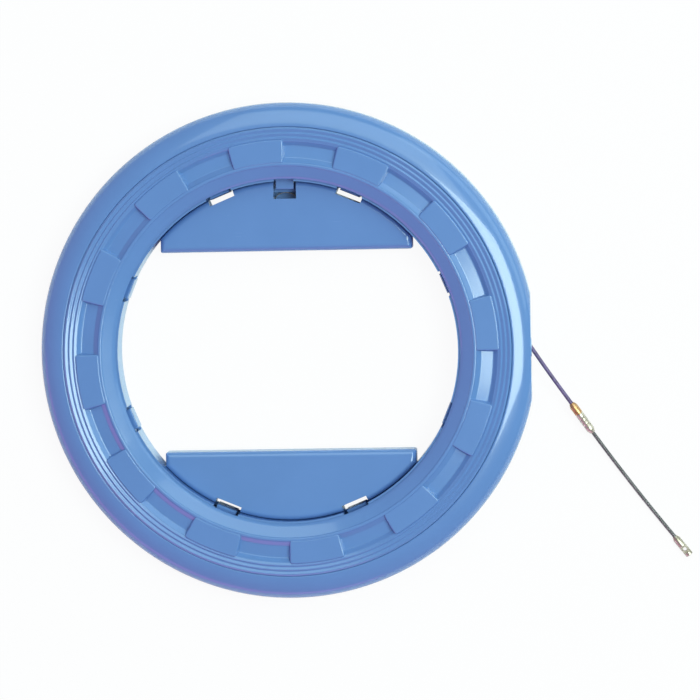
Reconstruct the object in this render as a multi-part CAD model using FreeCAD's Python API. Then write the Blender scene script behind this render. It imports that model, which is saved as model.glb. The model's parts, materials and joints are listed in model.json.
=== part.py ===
import FreeCAD, Part
import math
import os

# Fish tape reel: a hand-held ring case with a winding ring that carries the drum and the coil of tape,
# a spring-loaded brake tab, and the free end of the tape with its flexible leader and pulling tip.
# The ring's axis is +Z, the back of the case lies on z = 0, and the tape leaves towards +X.
# Lengths are in millimetres and angles in degrees, counted from +X towards +Y.

# Walls, gaps and fits
wall = 2.4              # moulded walls of the case and the ring
run_gap = 0.3           # between bodies that turn or slide past each other
seat_gap = 0.1          # round a piece that is set into another
screw_gap = 0.05        # round a screw's shank

# Radii of the case and the ring, from the open middle outwards
hub_bore_r = 117.5      # inner face of the case's inner wall
catch_depth = 1.9       # step inside the barrel that the snap tongues hook over
lip_setback = 1.4       # bare top of the inner wall inside the front lip
slope_w = 8.7           # slope from the front lip's bead down to the open middle
bead_w = 3.2            # rounded bead at the top of the slope
finger_w = 14.1         # band of finger pads and pockets
ridge_pitch = 3.1       # fine concentric ridges outside the finger band
ridge_count = 3
seam_gap = 0.3          # between the winding ring and the case
band_w = 11.7           # smooth outer band of the case
shoulder_w = 5.1        # rounding from the band into the outer wall

# Heights, from the back upwards
foot_h = 0.8            # recess in the back between the two flat lands it lies on
floor_t = 2.2           # floor of the back shell
runner_h = 0.3          # rib that the drum's flange turns on
drum_flange_t = 1.8
ledge_h = 7.6           # from the drum's flange to the barrel's inner step
rib_h = 5.7             # ribs under the winding ring
pocket_drop = 2.0       # finger pocket below the lip, at its inner side
pocket_slope = 1.0      # how much deeper the pocket is at its outer side
pocket_wall_w = 2.9     # slanted side of a pocket, in plan
pad_rise = 0.3          # finger pad above the lip's bead
pad_fall = 0.2          # how much lower a pad is at its outer side
bead_h = 0.9
ridge_h = 0.7
edge_round = 5.0        # back edge of the case
band_slope = 5.0        # slope of the outer band at the seam
shoulder_slope = 38.0   # slope where the band turns into the shoulder

# Tape
tape_d = 2.7
coil_rows = 5
coil_layers = 5
lead_turn = 60.0        # how much of the outermost turn is modelled by itself

# Finger band
pad_count = 12
pad_phase = -0.2        # rest position of the ring
pad_round = 1.5
pad_edge_round = 0.7
pad_overlap = 0.9       # how far a pad runs into the lip and the ridges beside it

# Flat and mouth, where the tape leaves
flat_depth = 4.0
bushing_r = 3.5
bushing_len = 16.0
bushing_proud = 0.4
cradle_t = 3.0
cradle_w = 10.0

# Snap tongues and the slots beside them
tongue_count = 8
tongue_w = 14.2
tongue_t = 2.0
tongue_inset = 0.8      # from the inner wall's bore to the tongue's inner face
hook_h = 2.8
tongue_play = 2.1       # side gap of a tongue in its slot
slot_depth = 4.4        # from the grip's rim to the slot's inner end
slot_wall = 1.6

# Grips
grip_edge_y = 69.1      # straight edge from the ring's axis
grip_end_h = 9.7        # short upright ends
grip_h = 17.0           # front face
panel_t = 2.4           # back panel of a grip
grip_corner_r = 1.8
grip_edge_round = 4.2
grip_screw_inset = 3.7  # from the grip's curved wall to its screw bosses
grip_screw_angles = (-35.0, -11.5, 11.5, 35.0)

# Brake
brake_w = 12.2
brake_depth = 5.9       # visible top of the tab, from the grip's rim inwards
brake_drop = 0.6        # top of the tab below the grip's face
brake_foot_w = 17.2
brake_foot_h = 5.3
brake_foot_depth = 7.9
well_play = 1.7         # side gap of the tab in its well
well_depth = 12.2       # from the grip's rim to the well's inner end
brake_spring_t = 0.4
brake_spring_h = 6.0

# Screws
screw_r = 1.45
screw_head_r = 2.7
screw_head_h = 1.7
screw_len = 10.0
counterbore_h = 2.0
boss_r = 3.3
seat_h = 2.0            # raised seat that a boss stands on
small_screw_r = 1.0
small_head_r = 2.0
small_screw_len = 6.0
flange_screw_count = 6
case_screw_count = 8

# Tape anchor on the barrel
anchor_angle = 205.0
anchor_l = 10.0
anchor_h = 5.6
anchor_t = 1.2

# Tape end: coupling sleeves, leader and tip
sleeve_r = 2.8
sleeve_lip = 0.3        # wall of a sleeve where it starts on the tape or the leader
sleeve_taper_l = 2.5
tape_sleeve_l = 9.0
leader_sleeve_l = 16.3
leader_d = 2.8
leader_core_d = 1.3
leader_first_run = 14.0
tip_r = 2.6
tip_l = 16.4
tip_nose_l = 2.2
tip_chamfer = 0.4
eye_r = 1.3
eye_from_start = 11.1
eye_flat_l = 5.6
eye_flat_t = 3.0
tip_socket_r = 1.3
tip_socket_l = 3.0

# Worked out from the sizes above
hub_out_r = hub_bore_r + wall
barrel_in_r = hub_out_r + run_gap
groove_r = barrel_in_r + catch_depth
barrel_r = groove_r + wall
lip_r = hub_bore_r + lip_setback
bead_in_r = lip_r + slope_w
finger_in_r = bead_in_r + bead_w
finger_out_r = finger_in_r + finger_w
ring_r = finger_out_r + ridge_count * ridge_pitch
seam_r = ring_r + seam_gap
band_out_r = seam_r + band_w
case_r = band_out_r + shoulder_w
shelf_r = ring_r - wall - run_gap

floor_z = foot_h + floor_t
drum_flange_z0 = floor_z + runner_h + run_gap
drum_flange_z1 = drum_flange_z0 + drum_flange_t
coil_z0 = drum_flange_z1 + run_gap
coil_z1 = coil_z0 + coil_rows * tape_d
mouth_z = (coil_z0 + coil_z1) / 2
rib_z = coil_z1 + run_gap
under_z = rib_z + rib_h
ledge_z = drum_flange_z1 + ledge_h
hook_z = ledge_z + run_gap
hub_top_z = under_z - 3 * run_gap
pocket_out_z = under_z + wall
pocket_in_z = pocket_out_z + pocket_slope
bead_foot_z = pocket_in_z + pocket_drop
bead_top_z = bead_foot_z + bead_h
pad_top_z = bead_top_z + pad_rise
ridge_z = bead_foot_z - ridge_h / 2
shelf_z1 = under_z + wall / 3
shelf_z0 = shelf_z1 - 2.0
band_z = ridge_z - ridge_h / 2
shoulder_z = band_z - band_w * math.tan(math.radians((band_slope + shoulder_slope) / 2))
wall_top_z = shoulder_z - shoulder_w * math.tan(math.radians((shoulder_slope + 90) / 2))

coil_in_r = barrel_r + run_gap
coil_out_r = coil_in_r + tape_d * (1 + (coil_layers - 1) * math.sin(math.radians(60)))
lead_r = coil_out_r + run_gap + tape_d / 2
flat_x = case_r - flat_depth
exit_angle = math.degrees(math.asin(lead_r / flat_x))

grip_r = hub_bore_r - seat_gap
grip_end_x = math.sqrt(grip_r ** 2 - (grip_edge_y + grip_end_h) ** 2)
tongue_in_r = hub_bore_r - tongue_inset
slot_w = tongue_w + 2 * tongue_play
boss_ring_r = case_r - wall - boss_r - tongue_t
grip_screw_r = grip_r - wall - boss_r - grip_screw_inset
tongue_phase = 180.0 / tongue_count
case_screw_phase = 180.0 / case_screw_count
flange_screw_ring_r = (barrel_in_r + barrel_r) / 2

# Route of the free tape: plan offsets from the mouth, and heights above the surface
tape_route = [
    (0.0, 0.0, mouth_z),
    (6.6, -10.0, mouth_z),
    (16.7, -24.9, 11.1),
    (27.0, -39.6, 9.0),
]
# Route of the leader after the run that leaves its sleeve
leader_route = [
    (60.0, -86.2, 3.45),
    (72.0, -102.2, 2.85),
    (84.2, -118.1, 2.65),
    (96.7, -133.7, tip_r),
]

quarter = 1 - math.sqrt(0.5)    # bulge of a quarter arc for a radius of one
origin = FreeCAD.Vector(0, 0, 0)
axis_x = FreeCAD.Vector(1, 0, 0)
axis_z = FreeCAD.Vector(0, 0, 1)
exit_point = FreeCAD.Vector(flat_x, 0, mouth_z)
exit_dir = FreeCAD.Vector(math.cos(math.radians(exit_angle)), -math.sin(math.radians(exit_angle)), 0)


def box(x0, x1, y0, y1, z0, z1):
    return Part.makeBox(x1 - x0, y1 - y0, z1 - z0, FreeCAD.Vector(x0, y0, z0))


def post(radius, x, y, z0, z1):
    """Upright cylinder from z0 to z1."""
    return Part.makeCylinder(radius, z1 - z0, FreeCAD.Vector(x, y, z0))


def turned(shape, angle):
    """Copy of a shape, turned about the ring's axis."""
    copy = shape.copy()
    copy.rotate(origin, axis_z, angle)
    return copy


def ring_of(shape, count, start):
    """Copies of a shape, evenly spaced about the ring's axis."""
    return [turned(shape, start + i * 360.0 / count) for i in range(count)]


def outline(start, *steps):
    """Closed face in the XZ plane. A step is (r, z) for a line or (r, z, bulge) for an arc
    that swells to the left of its way by bulge."""
    edges = []
    here = FreeCAD.Vector(start[0], 0, start[1])
    for step in steps + (start,):
        there = FreeCAD.Vector(step[0], 0, step[1])
        if len(step) == 3:
            way = (there - here).normalize()
            left = FreeCAD.Vector(-way.z, 0, way.x)
            edges.append(Part.Arc(here, (here + there) / 2 + left * step[2], there).toShape())
        else:
            edges.append(Part.LineSegment(here, there).toShape())
        here = there
    return Part.Face(Part.Wire(edges))


def bulge(width, slope0, slope1):
    """Bulge of an arc that is this wide in plan and turns from one slope to the other."""
    chord = width / math.cos(math.radians((slope0 + slope1) / 2))
    return chord / 2 * math.tan(math.radians((slope1 - slope0) / 4))


def spun(start, *steps):
    """Solid of revolution of an outline about the ring's axis."""
    return outline(start, *steps).revolve(origin, axis_z, 360)


def hoop(r0, r1, z0, z1):
    """Plain ring of rectangular section."""
    return spun((r0, z0), (r1, z0), (r1, z1), (r0, z1))


def case_disc(inset, z0, z1):
    """Disc with the case's plan, flat included, moved inwards by inset."""
    disc = Part.makeCylinder(case_r - inset, z1 - z0, FreeCAD.Vector(0, 0, z0))
    return disc.common(box(-case_r - 1, flat_x - inset, -case_r - 1, case_r + 1, z0 - 1, z1 + 1))


def grip_plan(radius, inset, corner):
    """D-shaped face of the upper grip: straight edge below, arc above, short upright ends."""
    y0 = grip_edge_y + inset
    x1 = grip_end_x - inset
    y1 = math.sqrt(radius ** 2 - x1 ** 2)
    k = corner * (1 - math.sqrt(0.5))
    p = [
        FreeCAD.Vector(-x1, y1, 0),
        FreeCAD.Vector(-x1, y0 + corner, 0),
        FreeCAD.Vector(-x1 + corner, y0, 0),
        FreeCAD.Vector(x1 - corner, y0, 0),
        FreeCAD.Vector(x1, y0 + corner, 0),
        FreeCAD.Vector(x1, y1, 0),
    ]
    edges = [
        Part.LineSegment(p[0], p[1]).toShape(),
        Part.Arc(p[1], FreeCAD.Vector(-x1 + k, y0 + k, 0), p[2]).toShape(),
        Part.LineSegment(p[2], p[3]).toShape(),
        Part.Arc(p[3], FreeCAD.Vector(x1 - k, y0 + k, 0), p[4]).toShape(),
        Part.LineSegment(p[4], p[5]).toShape(),
        Part.Arc(p[5], FreeCAD.Vector(0, radius, 0), p[0]).toShape(),
    ]
    return Part.Face(Part.Wire(edges))


def raised(face, z0, z1):
    """Plan face extruded from z0 to z1."""
    base = face.copy()
    base.translate(FreeCAD.Vector(0, 0, z0))
    return base.extrude(FreeCAD.Vector(0, 0, z1 - z0))


def edges_at(shape, z):
    """Edges that lie wholly at one height."""
    return [e for e in shape.Edges if all(abs(v.Z - z) < 1e-6 for v in e.Vertexes)
            and abs(e.CenterOfMass.z - z) < 1e-6]


def along_tape(radius, s0, s1):
    """Cylinder about the tape's line at the mouth, from s0 to s1 along it."""
    return Part.makeCylinder(radius, s1 - s0, exit_point + exit_dir * s0, exit_dir)


def cradle(z0, z1):
    """Upright web across the tape's line that holds the bushing."""
    at = exit_point - exit_dir * (bushing_len - cradle_t)
    web = box(-cradle_t / 2, cradle_t / 2, -cradle_w / 2, cradle_w / 2, z0, z1)
    web.rotate(origin, axis_z, -exit_angle)
    web.translate(FreeCAD.Vector(at.x, at.y, 0))
    return web


def pan_screw(r, head_r, head_h, length):
    """Pan-head screw, head's bearing face at z = 0, shank upwards."""
    head = Part.makeCylinder(head_r, head_h, FreeCAD.Vector(0, 0, -head_h))
    head = head.makeChamfer(head_h / 3, edges_at(head, -head_h))
    return head.fuse(Part.makeCylinder(r, length)).removeSplitter()


def flush_screw(r, head_r, length):
    """Countersunk screw, head's flat face at z = 0, shank upwards."""
    head = Part.makeCone(head_r, r, head_r - r)
    return head.fuse(Part.makeCylinder(r, length)).removeSplitter()


def rear_shell():
    """Back half of the case: floor, outer wall, inner wall with snap tongues, back panels of the grips."""
    body = spun(
        (hub_bore_r, 0),
        (case_r - edge_round, 0),
        (case_r, edge_round, -edge_round * quarter),
        (case_r, mouth_z),
        (hub_bore_r, mouth_z),
    )
    body = body.common(case_disc(0, -1, mouth_z + 1))
    hollow = case_disc(wall, floor_z, mouth_z + 1).cut(
        Part.makeCylinder(hub_out_r, mouth_z + 1, FreeCAD.Vector(0, 0, 0)))
    body = body.cut(hollow)
    lip_t = wall / 2
    rim_lip = case_disc(wall - lip_t, mouth_z - lip_t, mouth_z + lip_t)
    rim_lip = rim_lip.cut(case_disc(wall, mouth_z - wall, mouth_z + wall))
    inner_wall = hoop(hub_bore_r, hub_out_r, floor_z, hub_top_z)
    runner = hoop(barrel_r + wall, barrel_r + 2 * wall, floor_z - floor_t / 2, floor_z + runner_h)
    body = body.fuse([rim_lip, inner_wall, runner])
    body = body.cut(hoop(barrel_r + wall, seam_r, -foot_h, foot_h))

    panel = raised(grip_plan(hub_bore_r + wall / 2, 0, grip_corner_r), 0, panel_t)
    edge = [e for e in edges_at(panel, 0) if e.CenterOfMass.y < grip_edge_y + grip_end_h]
    panel = panel.makeFillet(panel_t / 2, edge)
    slot = box(grip_r - slot_depth, hub_bore_r, -slot_w / 2, slot_w / 2, -1, panel_t + 1)
    seats = []
    holes = []
    for side in (90, 270):
        half = turned(panel, side - 90)
        for turn in (-tongue_phase, tongue_phase):
            half = half.cut(turned(slot, side + turn))
        body = body.fuse(half)
        for turn in grip_screw_angles:
            seat, hole = screw_seat(grip_screw_r, panel_t + seat_h)
            seats.append(turned(seat, side + turn))
            holes.append(turned(hole, side + turn))
    seat, hole = screw_seat(boss_ring_r, floor_z + seat_h)
    seats += ring_of(seat, case_screw_count, case_screw_phase)
    holes += ring_of(hole, case_screw_count, case_screw_phase)
    seats.append(cradle(floor_z - floor_t / 2, mouth_z))
    body = body.fuse(seats).cut(holes)

    window = box(hub_bore_r - wall / 2, hub_out_r + wall / 2, -slot_w / 2, slot_w / 2,
                 2 * tongue_t, hub_top_z + 1)
    brake_gate = box(hub_bore_r - wall, hub_out_r + wall / 2, -brake_w / 2 - 2 * run_gap,
                     brake_w / 2 + 2 * run_gap, hook_z - run_gap, hub_top_z + 1)
    body = body.cut(ring_of(window, tongue_count, tongue_phase) + [turned(brake_gate, 90)])
    body = body.fuse(ring_of(snap_tongue(), tongue_count, tongue_phase))
    return body.cut(along_tape(bushing_r + seat_gap, -bushing_len - 1, bushing_len)).removeSplitter()


def screw_seat(ring, top):
    """Raised seat at a radius on the +X side, and the hole with its counterbore to cut from it."""
    seat = post(boss_r + wall / 4, ring, 0, floor_t / 2, top)
    hole = post(screw_r + screw_gap, ring, 0, -1, top + 1)
    return seat, hole.fuse(post(screw_head_r + 2 * seat_gap, ring, 0, -1, counterbore_h))


def snap_tongue():
    """Upright springy tongue on the +X side, with a nose that hooks over the barrel's inner step."""
    in_r = tongue_in_r
    out_r = in_r + tongue_t
    nose_r = math.sqrt((groove_r - run_gap) ** 2 - (tongue_w / 2) ** 2)
    section = outline(
        (in_r, 0),
        (out_r, 0),
        (out_r, hook_z),
        (nose_r, hook_z),
        (nose_r, hook_z + hook_h / 3),
        (out_r, hook_z + hook_h),
        (in_r + tongue_t / 3, hook_z + hook_h),
        (in_r, hook_z + hook_h * 2 / 3),
    )
    tongue = section.extrude(FreeCAD.Vector(0, tongue_w, 0))
    tongue.translate(FreeCAD.Vector(0, -tongue_w / 2, 0))
    return tongue


def front_rim():
    """Outer front half of the case: smooth band, shoulder and wall, a shelf under the ring's edge."""
    tilt = math.radians(shoulder_slope)
    body = spun(
        (shelf_r, mouth_z),
        (case_r, mouth_z),
        (case_r, wall_top_z),
        (band_out_r, shoulder_z, -bulge(shoulder_w, shoulder_slope, 90)),
        (seam_r, band_z, -bulge(band_w, band_slope, shoulder_slope)),
        (seam_r, shelf_z1),
        (shelf_r, shelf_z1),
    )
    hollow = spun(
        (shelf_r - wall, mouth_z - 1),
        (case_r, mouth_z - 1),
        (case_r, wall_top_z - wall / 2),
        (case_r - wall, wall_top_z - wall / 2),
        (band_out_r - wall * math.sin(tilt), shoulder_z - wall * math.cos(tilt)),
        (seam_r + wall, band_z - wall * 5 / 4),
        (seam_r + wall, shelf_z0),
        (shelf_r - wall, shelf_z0),
    )
    hollow = hollow.common(case_disc(wall, 0, pad_top_z))
    rim = body.common(case_disc(0, 0, pad_top_z)).cut(hollow)
    room = hollow.copy()
    room.translate(FreeCAD.Vector(0, 0, wall / 2))
    room = room.fuse(hoop(shelf_r, case_r, floor_z + seat_h, mouth_z + wall))
    bosses = ring_of(post(boss_r, boss_ring_r, 0, floor_z + seat_h, band_z),
                     case_screw_count, case_screw_phase)
    bosses.append(cradle(mouth_z, band_z))
    rim = rim.fuse([boss.common(room) for boss in bosses])
    bores = ring_of(post(screw_r + screw_gap, boss_ring_r, 0, 0, counterbore_h + screw_len + 1),
                    case_screw_count, case_screw_phase)
    rebate_t = wall / 2 + seat_gap
    rebate = case_disc(wall - rebate_t, mouth_z - 1, mouth_z + rebate_t)
    rebate = rebate.cut(case_disc(wall, mouth_z - wall, mouth_z + wall))
    mouth = along_tape(bushing_r + seat_gap, -bushing_len - 1, bushing_len)
    return rim.cut(bores + [rebate, mouth]).removeSplitter()


def round_edged(radius):
    """Grip block whose front edges are rounded along its arc, its straight edge and its ends."""
    k = -radius * quarter
    top = grip_h
    arc = spun((0, panel_t), (grip_r, panel_t), (grip_r, top - radius), (grip_r - radius, top, k), (0, top))
    ends = outline((-grip_end_x, panel_t), (grip_end_x, panel_t), (grip_end_x, top - radius),
                   (grip_end_x - radius, top, k), (radius - grip_end_x, top), (-grip_end_x, top - radius, k))
    side = outline((-grip_r, panel_t), (-grip_edge_y, panel_t), (-grip_edge_y, top - radius),
                   (-grip_edge_y - radius, top, k), (-grip_r, top))
    ends = ends.extrude(FreeCAD.Vector(0, grip_r, 0))
    side = turned(side.extrude(FreeCAD.Vector(0, 2 * grip_r, 0)), -90)
    side.translate(FreeCAD.Vector(-grip_r, 0, 0))
    return arc.common(ends).common(side)


def grip(with_well):
    """Front cover of a D-shaped grip, in the place of the upper one."""
    shape = raised(grip_plan(grip_r, 0, grip_corner_r), panel_t, grip_h)
    shape = shape.common(round_edged(grip_edge_round))
    inside = raised(grip_plan(grip_r - wall, wall, grip_corner_r / 2), panel_t - 1, grip_h - wall)
    tray = shape.cut(inside)
    slot_in_r = grip_r - slot_depth
    block = box(slot_in_r - slot_wall, grip_r + 1, -slot_w / 2 - slot_wall, slot_w / 2 + slot_wall,
                panel_t, grip_h)
    slot = box(slot_in_r, grip_r + 1, -slot_w / 2, slot_w / 2, 0, grip_h + 1)
    blocks = [turned(block, 90 + turn) for turn in (-tongue_phase, tongue_phase)]
    cuts = [turned(slot, 90 + turn) for turn in (-tongue_phase, tongue_phase)]
    if with_well:
        well_w = brake_w + 2 * well_play
        rail_z = panel_t + run_gap + brake_foot_h + run_gap
        foot_room = brake_foot_w + 2 * run_gap
        y0 = grip_r - well_depth
        x1 = foot_room / 2 + slot_wall
        blocks.append(box(-x1, x1, y0 - slot_wall, grip_r + 1, panel_t, grip_h))
        cuts.append(box(-well_w / 2, well_w / 2, y0, grip_r + 1, 0, grip_h + 1))
        cuts.append(box(-foot_room / 2, foot_room / 2, y0, grip_r + 1, 0, rail_z))
    for turn in grip_screw_angles:
        blocks.append(turned(post(boss_r, grip_screw_r, 0, panel_t + seat_h, grip_h - wall / 2), 90 + turn))
        cuts.append(turned(post(screw_r + screw_gap, grip_screw_r, 0, 0, counterbore_h + screw_len + 1),
                           90 + turn))
        cuts.append(turned(post(boss_r + wall / 4 + seat_gap, grip_screw_r, 0, 0, panel_t + seat_h),
                           90 + turn))
    tray = tray.fuse([piece.common(shape) for piece in blocks])
    return tray.cut(cuts).removeSplitter()


def brake_tab():
    """Brake tab: thumb block on a wide foot, with a shoe that reaches out to the barrel."""
    top = grip_h - brake_drop
    front = math.sqrt(hub_bore_r ** 2 - (brake_foot_w / 2) ** 2) - run_gap
    foot_z = panel_t + run_gap
    back = grip_r - brake_depth
    block = box(-brake_w / 2, brake_w / 2, back, front, foot_z, top)
    block = block.makeFillet(brake_drop * 2, [e for e in edges_at(block, top)
                                              if abs(e.CenterOfMass.y - back) < 1e-6])
    foot = box(-brake_foot_w / 2, brake_foot_w / 2, grip_r - brake_foot_depth, front,
               foot_z, foot_z + brake_foot_h)
    shoe = box(-brake_w / 2, brake_w / 2, back + brake_depth / 2, groove_r, hook_z, top)
    shoe = shoe.common(Part.makeCylinder(groove_r - run_gap, grip_h))
    return block.fuse([foot, shoe]).removeSplitter()


def brake_spring():
    """Bowed leaf spring between the well's inner end and the tab's foot."""
    y0 = grip_r - well_depth
    y1 = grip_r - brake_foot_depth
    half = brake_foot_w / 2 - 1.0
    bow = y1 - y0 - brake_spring_t
    feet = y0
    crown = y0 + bow
    edges = [
        Part.Arc(FreeCAD.Vector(-half, feet, 0), FreeCAD.Vector(0, crown, 0),
                 FreeCAD.Vector(half, feet, 0)).toShape(),
        Part.LineSegment(FreeCAD.Vector(half, feet, 0),
                         FreeCAD.Vector(half, feet + brake_spring_t, 0)).toShape(),
        Part.Arc(FreeCAD.Vector(half, feet + brake_spring_t, 0),
                 FreeCAD.Vector(0, crown + brake_spring_t, 0),
                 FreeCAD.Vector(-half, feet + brake_spring_t, 0)).toShape(),
        Part.LineSegment(FreeCAD.Vector(-half, feet + brake_spring_t, 0),
                         FreeCAD.Vector(-half, feet, 0)).toShape(),
    ]
    leaf = Part.Face(Part.Wire(edges))
    z0 = panel_t + run_gap
    height = min(brake_spring_h, brake_foot_h)
    return raised(leaf, z0, z0 + height)


def winding_ring():
    """Castellated front ring with the drum's barrel behind it."""
    steps = [
        (barrel_in_r, drum_flange_z1),
        (barrel_r, drum_flange_z1),
        (barrel_r, under_z),
        (shelf_r - seam_gap, under_z),
        (shelf_r - seam_gap, shelf_z1 + run_gap),
        (ring_r, shelf_z1 + run_gap),
        (ring_r, ridge_z),
    ]
    for i in range(ridge_count):
        outer = ring_r - i * ridge_pitch
        steps += [
            (outer - ridge_pitch / 4, ridge_z + ridge_h),
            (outer - ridge_pitch * 3 / 4, ridge_z + ridge_h),
            (outer - ridge_pitch, ridge_z),
        ]
    steps += [
        (finger_out_r - pocket_wall_w, pocket_out_z),
        (finger_in_r + pocket_wall_w, pocket_in_z),
        (finger_in_r, bead_foot_z),
        (finger_in_r - bead_w / 4, bead_top_z),
        (bead_in_r + bead_w / 4, bead_top_z),
        (bead_in_r, bead_foot_z),
        (lip_r, under_z + bead_h, -bead_h),
        (lip_r, under_z),
        (groove_r, under_z),
        (groove_r, ledge_z),
        (barrel_in_r, ledge_z),
    ]
    ring = spun(*steps)
    pads = ring_of(finger_pad(), pad_count, pad_phase)
    rib = box(barrel_r - wall / 2, shelf_r - 2 * seam_gap, -wall / 3, wall / 3, rib_z, under_z + wall / 2)
    ribs = ring_of(rib, pad_count, pad_phase)
    ring = ring.fuse(pads + ribs)
    ring = ring.cut(ring_of(pad_core(), pad_count, pad_phase) + flange_screw_bores())
    return ring.cut(anchor_room(seat_gap)).removeSplitter()


def finger_pad():
    """Raised pad of the finger band, half a pitch long, crowned and rounded."""
    span = 180.0 / pad_count
    in_r = finger_in_r - pad_overlap
    out_r = finger_out_r + pad_overlap
    section = outline(
        (in_r, pocket_out_z - wall / 2),
        (out_r, pocket_out_z - wall / 2),
        (out_r, pad_top_z - pad_fall),
        (in_r, pad_top_z, -pad_fall / 2),
    )
    pad = section.revolve(origin, axis_z, span)
    upright = [e for e in pad.Edges if len(e.Vertexes) == 2
               and abs(e.Vertexes[0].Z - e.Vertexes[1].Z) > wall]
    pad = pad.makeFillet(pad_round, upright)
    top = [e for e in pad.Edges if min(v.Z for v in e.Vertexes) > pad_top_z - 2 * bead_h]
    return pad.makeChamfer(pad_edge_round, top)


def pad_core():
    """Recess under a pad that keeps its walls even."""
    span = 180.0 / pad_count
    rim = math.degrees(wall / finger_in_r)
    section = outline(
        (finger_in_r + wall / 2, under_z - 1),
        (finger_out_r - wall / 2, under_z - 1),
        (finger_out_r - wall / 2, pad_top_z - pad_fall - wall),
        (finger_in_r + wall / 2, pad_top_z - wall),
    )
    return turned(section.revolve(origin, axis_z, span - 2 * rim), rim)


def anchor_room(gap):
    """Pocket in the barrel's outer face for the anchor plate, with its screw hole."""
    plate = box(barrel_r - anchor_t - gap, barrel_r + 1, -anchor_l / 2 - gap, anchor_l / 2 + gap,
                anchor_z() - gap, anchor_z() + anchor_h + gap)
    hole = Part.makeCylinder(small_screw_r + screw_gap, barrel_r, FreeCAD.Vector(
        barrel_in_r + run_gap, 0, anchor_z() + anchor_h / 2), axis_x)
    return turned(plate.fuse(hole), anchor_angle)


def anchor_z():
    """Lower edge of the anchor plate, centred on the thick part of the barrel."""
    return (drum_flange_z1 + ledge_z - anchor_h) / 2


def tape_anchor():
    """Clamp plate for the tape's inner end."""
    outer = barrel_r - seat_gap
    plate = box(barrel_r - anchor_t, outer, -anchor_l / 2, anchor_l / 2, anchor_z(), anchor_z() + anchor_h)
    hole = flush_screw(small_screw_r + screw_gap, small_head_r + screw_gap, 2 * anchor_t)
    hole.rotate(origin, FreeCAD.Vector(0, 1, 0), -90)
    hole.translate(FreeCAD.Vector(outer, 0, anchor_z() + anchor_h / 2))
    return turned(plate.cut(hole), anchor_angle)


def anchor_screw():
    screw = flush_screw(small_screw_r, small_head_r, wall + anchor_t / 2)
    screw.rotate(origin, FreeCAD.Vector(0, 1, 0), -90)
    screw.translate(FreeCAD.Vector(barrel_r - seat_gap, 0, anchor_z() + anchor_h / 2))
    return turned(screw, anchor_angle)


def drum_flange():
    """Rear flange of the drum, screwed to the barrel's end."""
    disc = spun(
        (barrel_in_r, drum_flange_z0),
        (coil_out_r + 2 * tape_d, drum_flange_z0),
        (coil_out_r + 2 * tape_d, drum_flange_z0 + drum_flange_t / 2),
        (coil_out_r + tape_d, drum_flange_z1),
        (barrel_in_r, drum_flange_z1),
    )
    hole = flush_screw(small_screw_r + screw_gap, small_head_r + screw_gap, drum_flange_t + 1)
    hole.translate(FreeCAD.Vector(flange_screw_ring_r, 0, drum_flange_z0))
    return disc.cut(ring_of(hole, flange_screw_count, 0))


def flange_screws():
    screw = flush_screw(small_screw_r, small_head_r, small_screw_len)
    screw.translate(FreeCAD.Vector(flange_screw_ring_r, 0, drum_flange_z0))
    return Part.makeCompound(ring_of(screw, flange_screw_count, 0))


def flange_screw_bores():
    """Pilot holes in the barrel for the flange's screws."""
    bore = post(small_screw_r + screw_gap, flange_screw_ring_r, 0, drum_flange_z0,
                drum_flange_z0 + small_screw_len + 2 * seat_gap)
    return ring_of(bore, flange_screw_count, 0)


def tape_coil():
    """Outer shape of the wound tape."""
    r = tape_d / 2
    return spun(
        (coil_in_r, coil_z0),
        (coil_out_r - r, coil_z0),
        (coil_out_r, coil_z0 + r),
        (coil_out_r, coil_z1 - r),
        (coil_out_r - r, coil_z1),
        (coil_in_r, coil_z1),
    )


def screws_at(ring, angles):
    """Pan-head screws driven from the back at a radius and a list of angles."""
    screw = pan_screw(screw_r, screw_head_r, screw_head_h, screw_len)
    screw.translate(FreeCAD.Vector(ring, 0, counterbore_h))
    return Part.makeCompound([turned(screw, angle) for angle in angles])


def mouth_bushing():
    """Guide tube for the tape, set slantwise in the rim and trimmed along its flat."""
    tube = along_tape(bushing_r, -bushing_len, bushing_len)
    tube = tube.common(case_disc(-bushing_proud, 0, pad_top_z))
    return tube.cut(along_tape(tape_d / 2 + run_gap, -bushing_len - 1, bushing_len))


def swept(edges, diameter, name):
    """Tube of a diameter along a chain of edges."""
    path = Part.Wire(edges)
    start = edges[0].valueAt(edges[0].FirstParameter)
    way = edges[0].tangentAt(edges[0].FirstParameter)
    ring = Part.Wire([Part.makeCircle(diameter / 2, start, way)])
    tube = path.makePipeShell([ring], True, False)
    expected = math.pi * (diameter / 2) ** 2 * path.Length
    print(f"{name}: length {path.Length:.1f} mm, volume {tube.Volume:.1f} of {expected:.1f} mm3")
    return tube


def rounded(points, name):
    """Straight runs joined by tangent arcs, each as large as its two runs allow."""
    edges = []
    radii = []
    here = points[0]
    for before, corner, after in zip(points, points[1:], points[2:]):
        back = (before - corner).normalize()
        on = (after - corner).normalize()
        half = (math.pi - back.getAngle(on)) / 2
        trim = 0.45 * min((before - corner).Length, (after - corner).Length)
        radius = trim / math.tan(half)
        middle = (back + on).normalize() * (radius / math.cos(half) - radius)
        edges.append(Part.LineSegment(here, corner + back * trim).toShape())
        edges.append(Part.Arc(corner + back * trim, corner + middle, corner + on * trim).toShape())
        here = corner + on * trim
        radii.append(round(radius))
    edges.append(Part.LineSegment(here, points[-1]).toShape())
    print(f"{name}: bend radii {radii} mm")
    return edges


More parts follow.
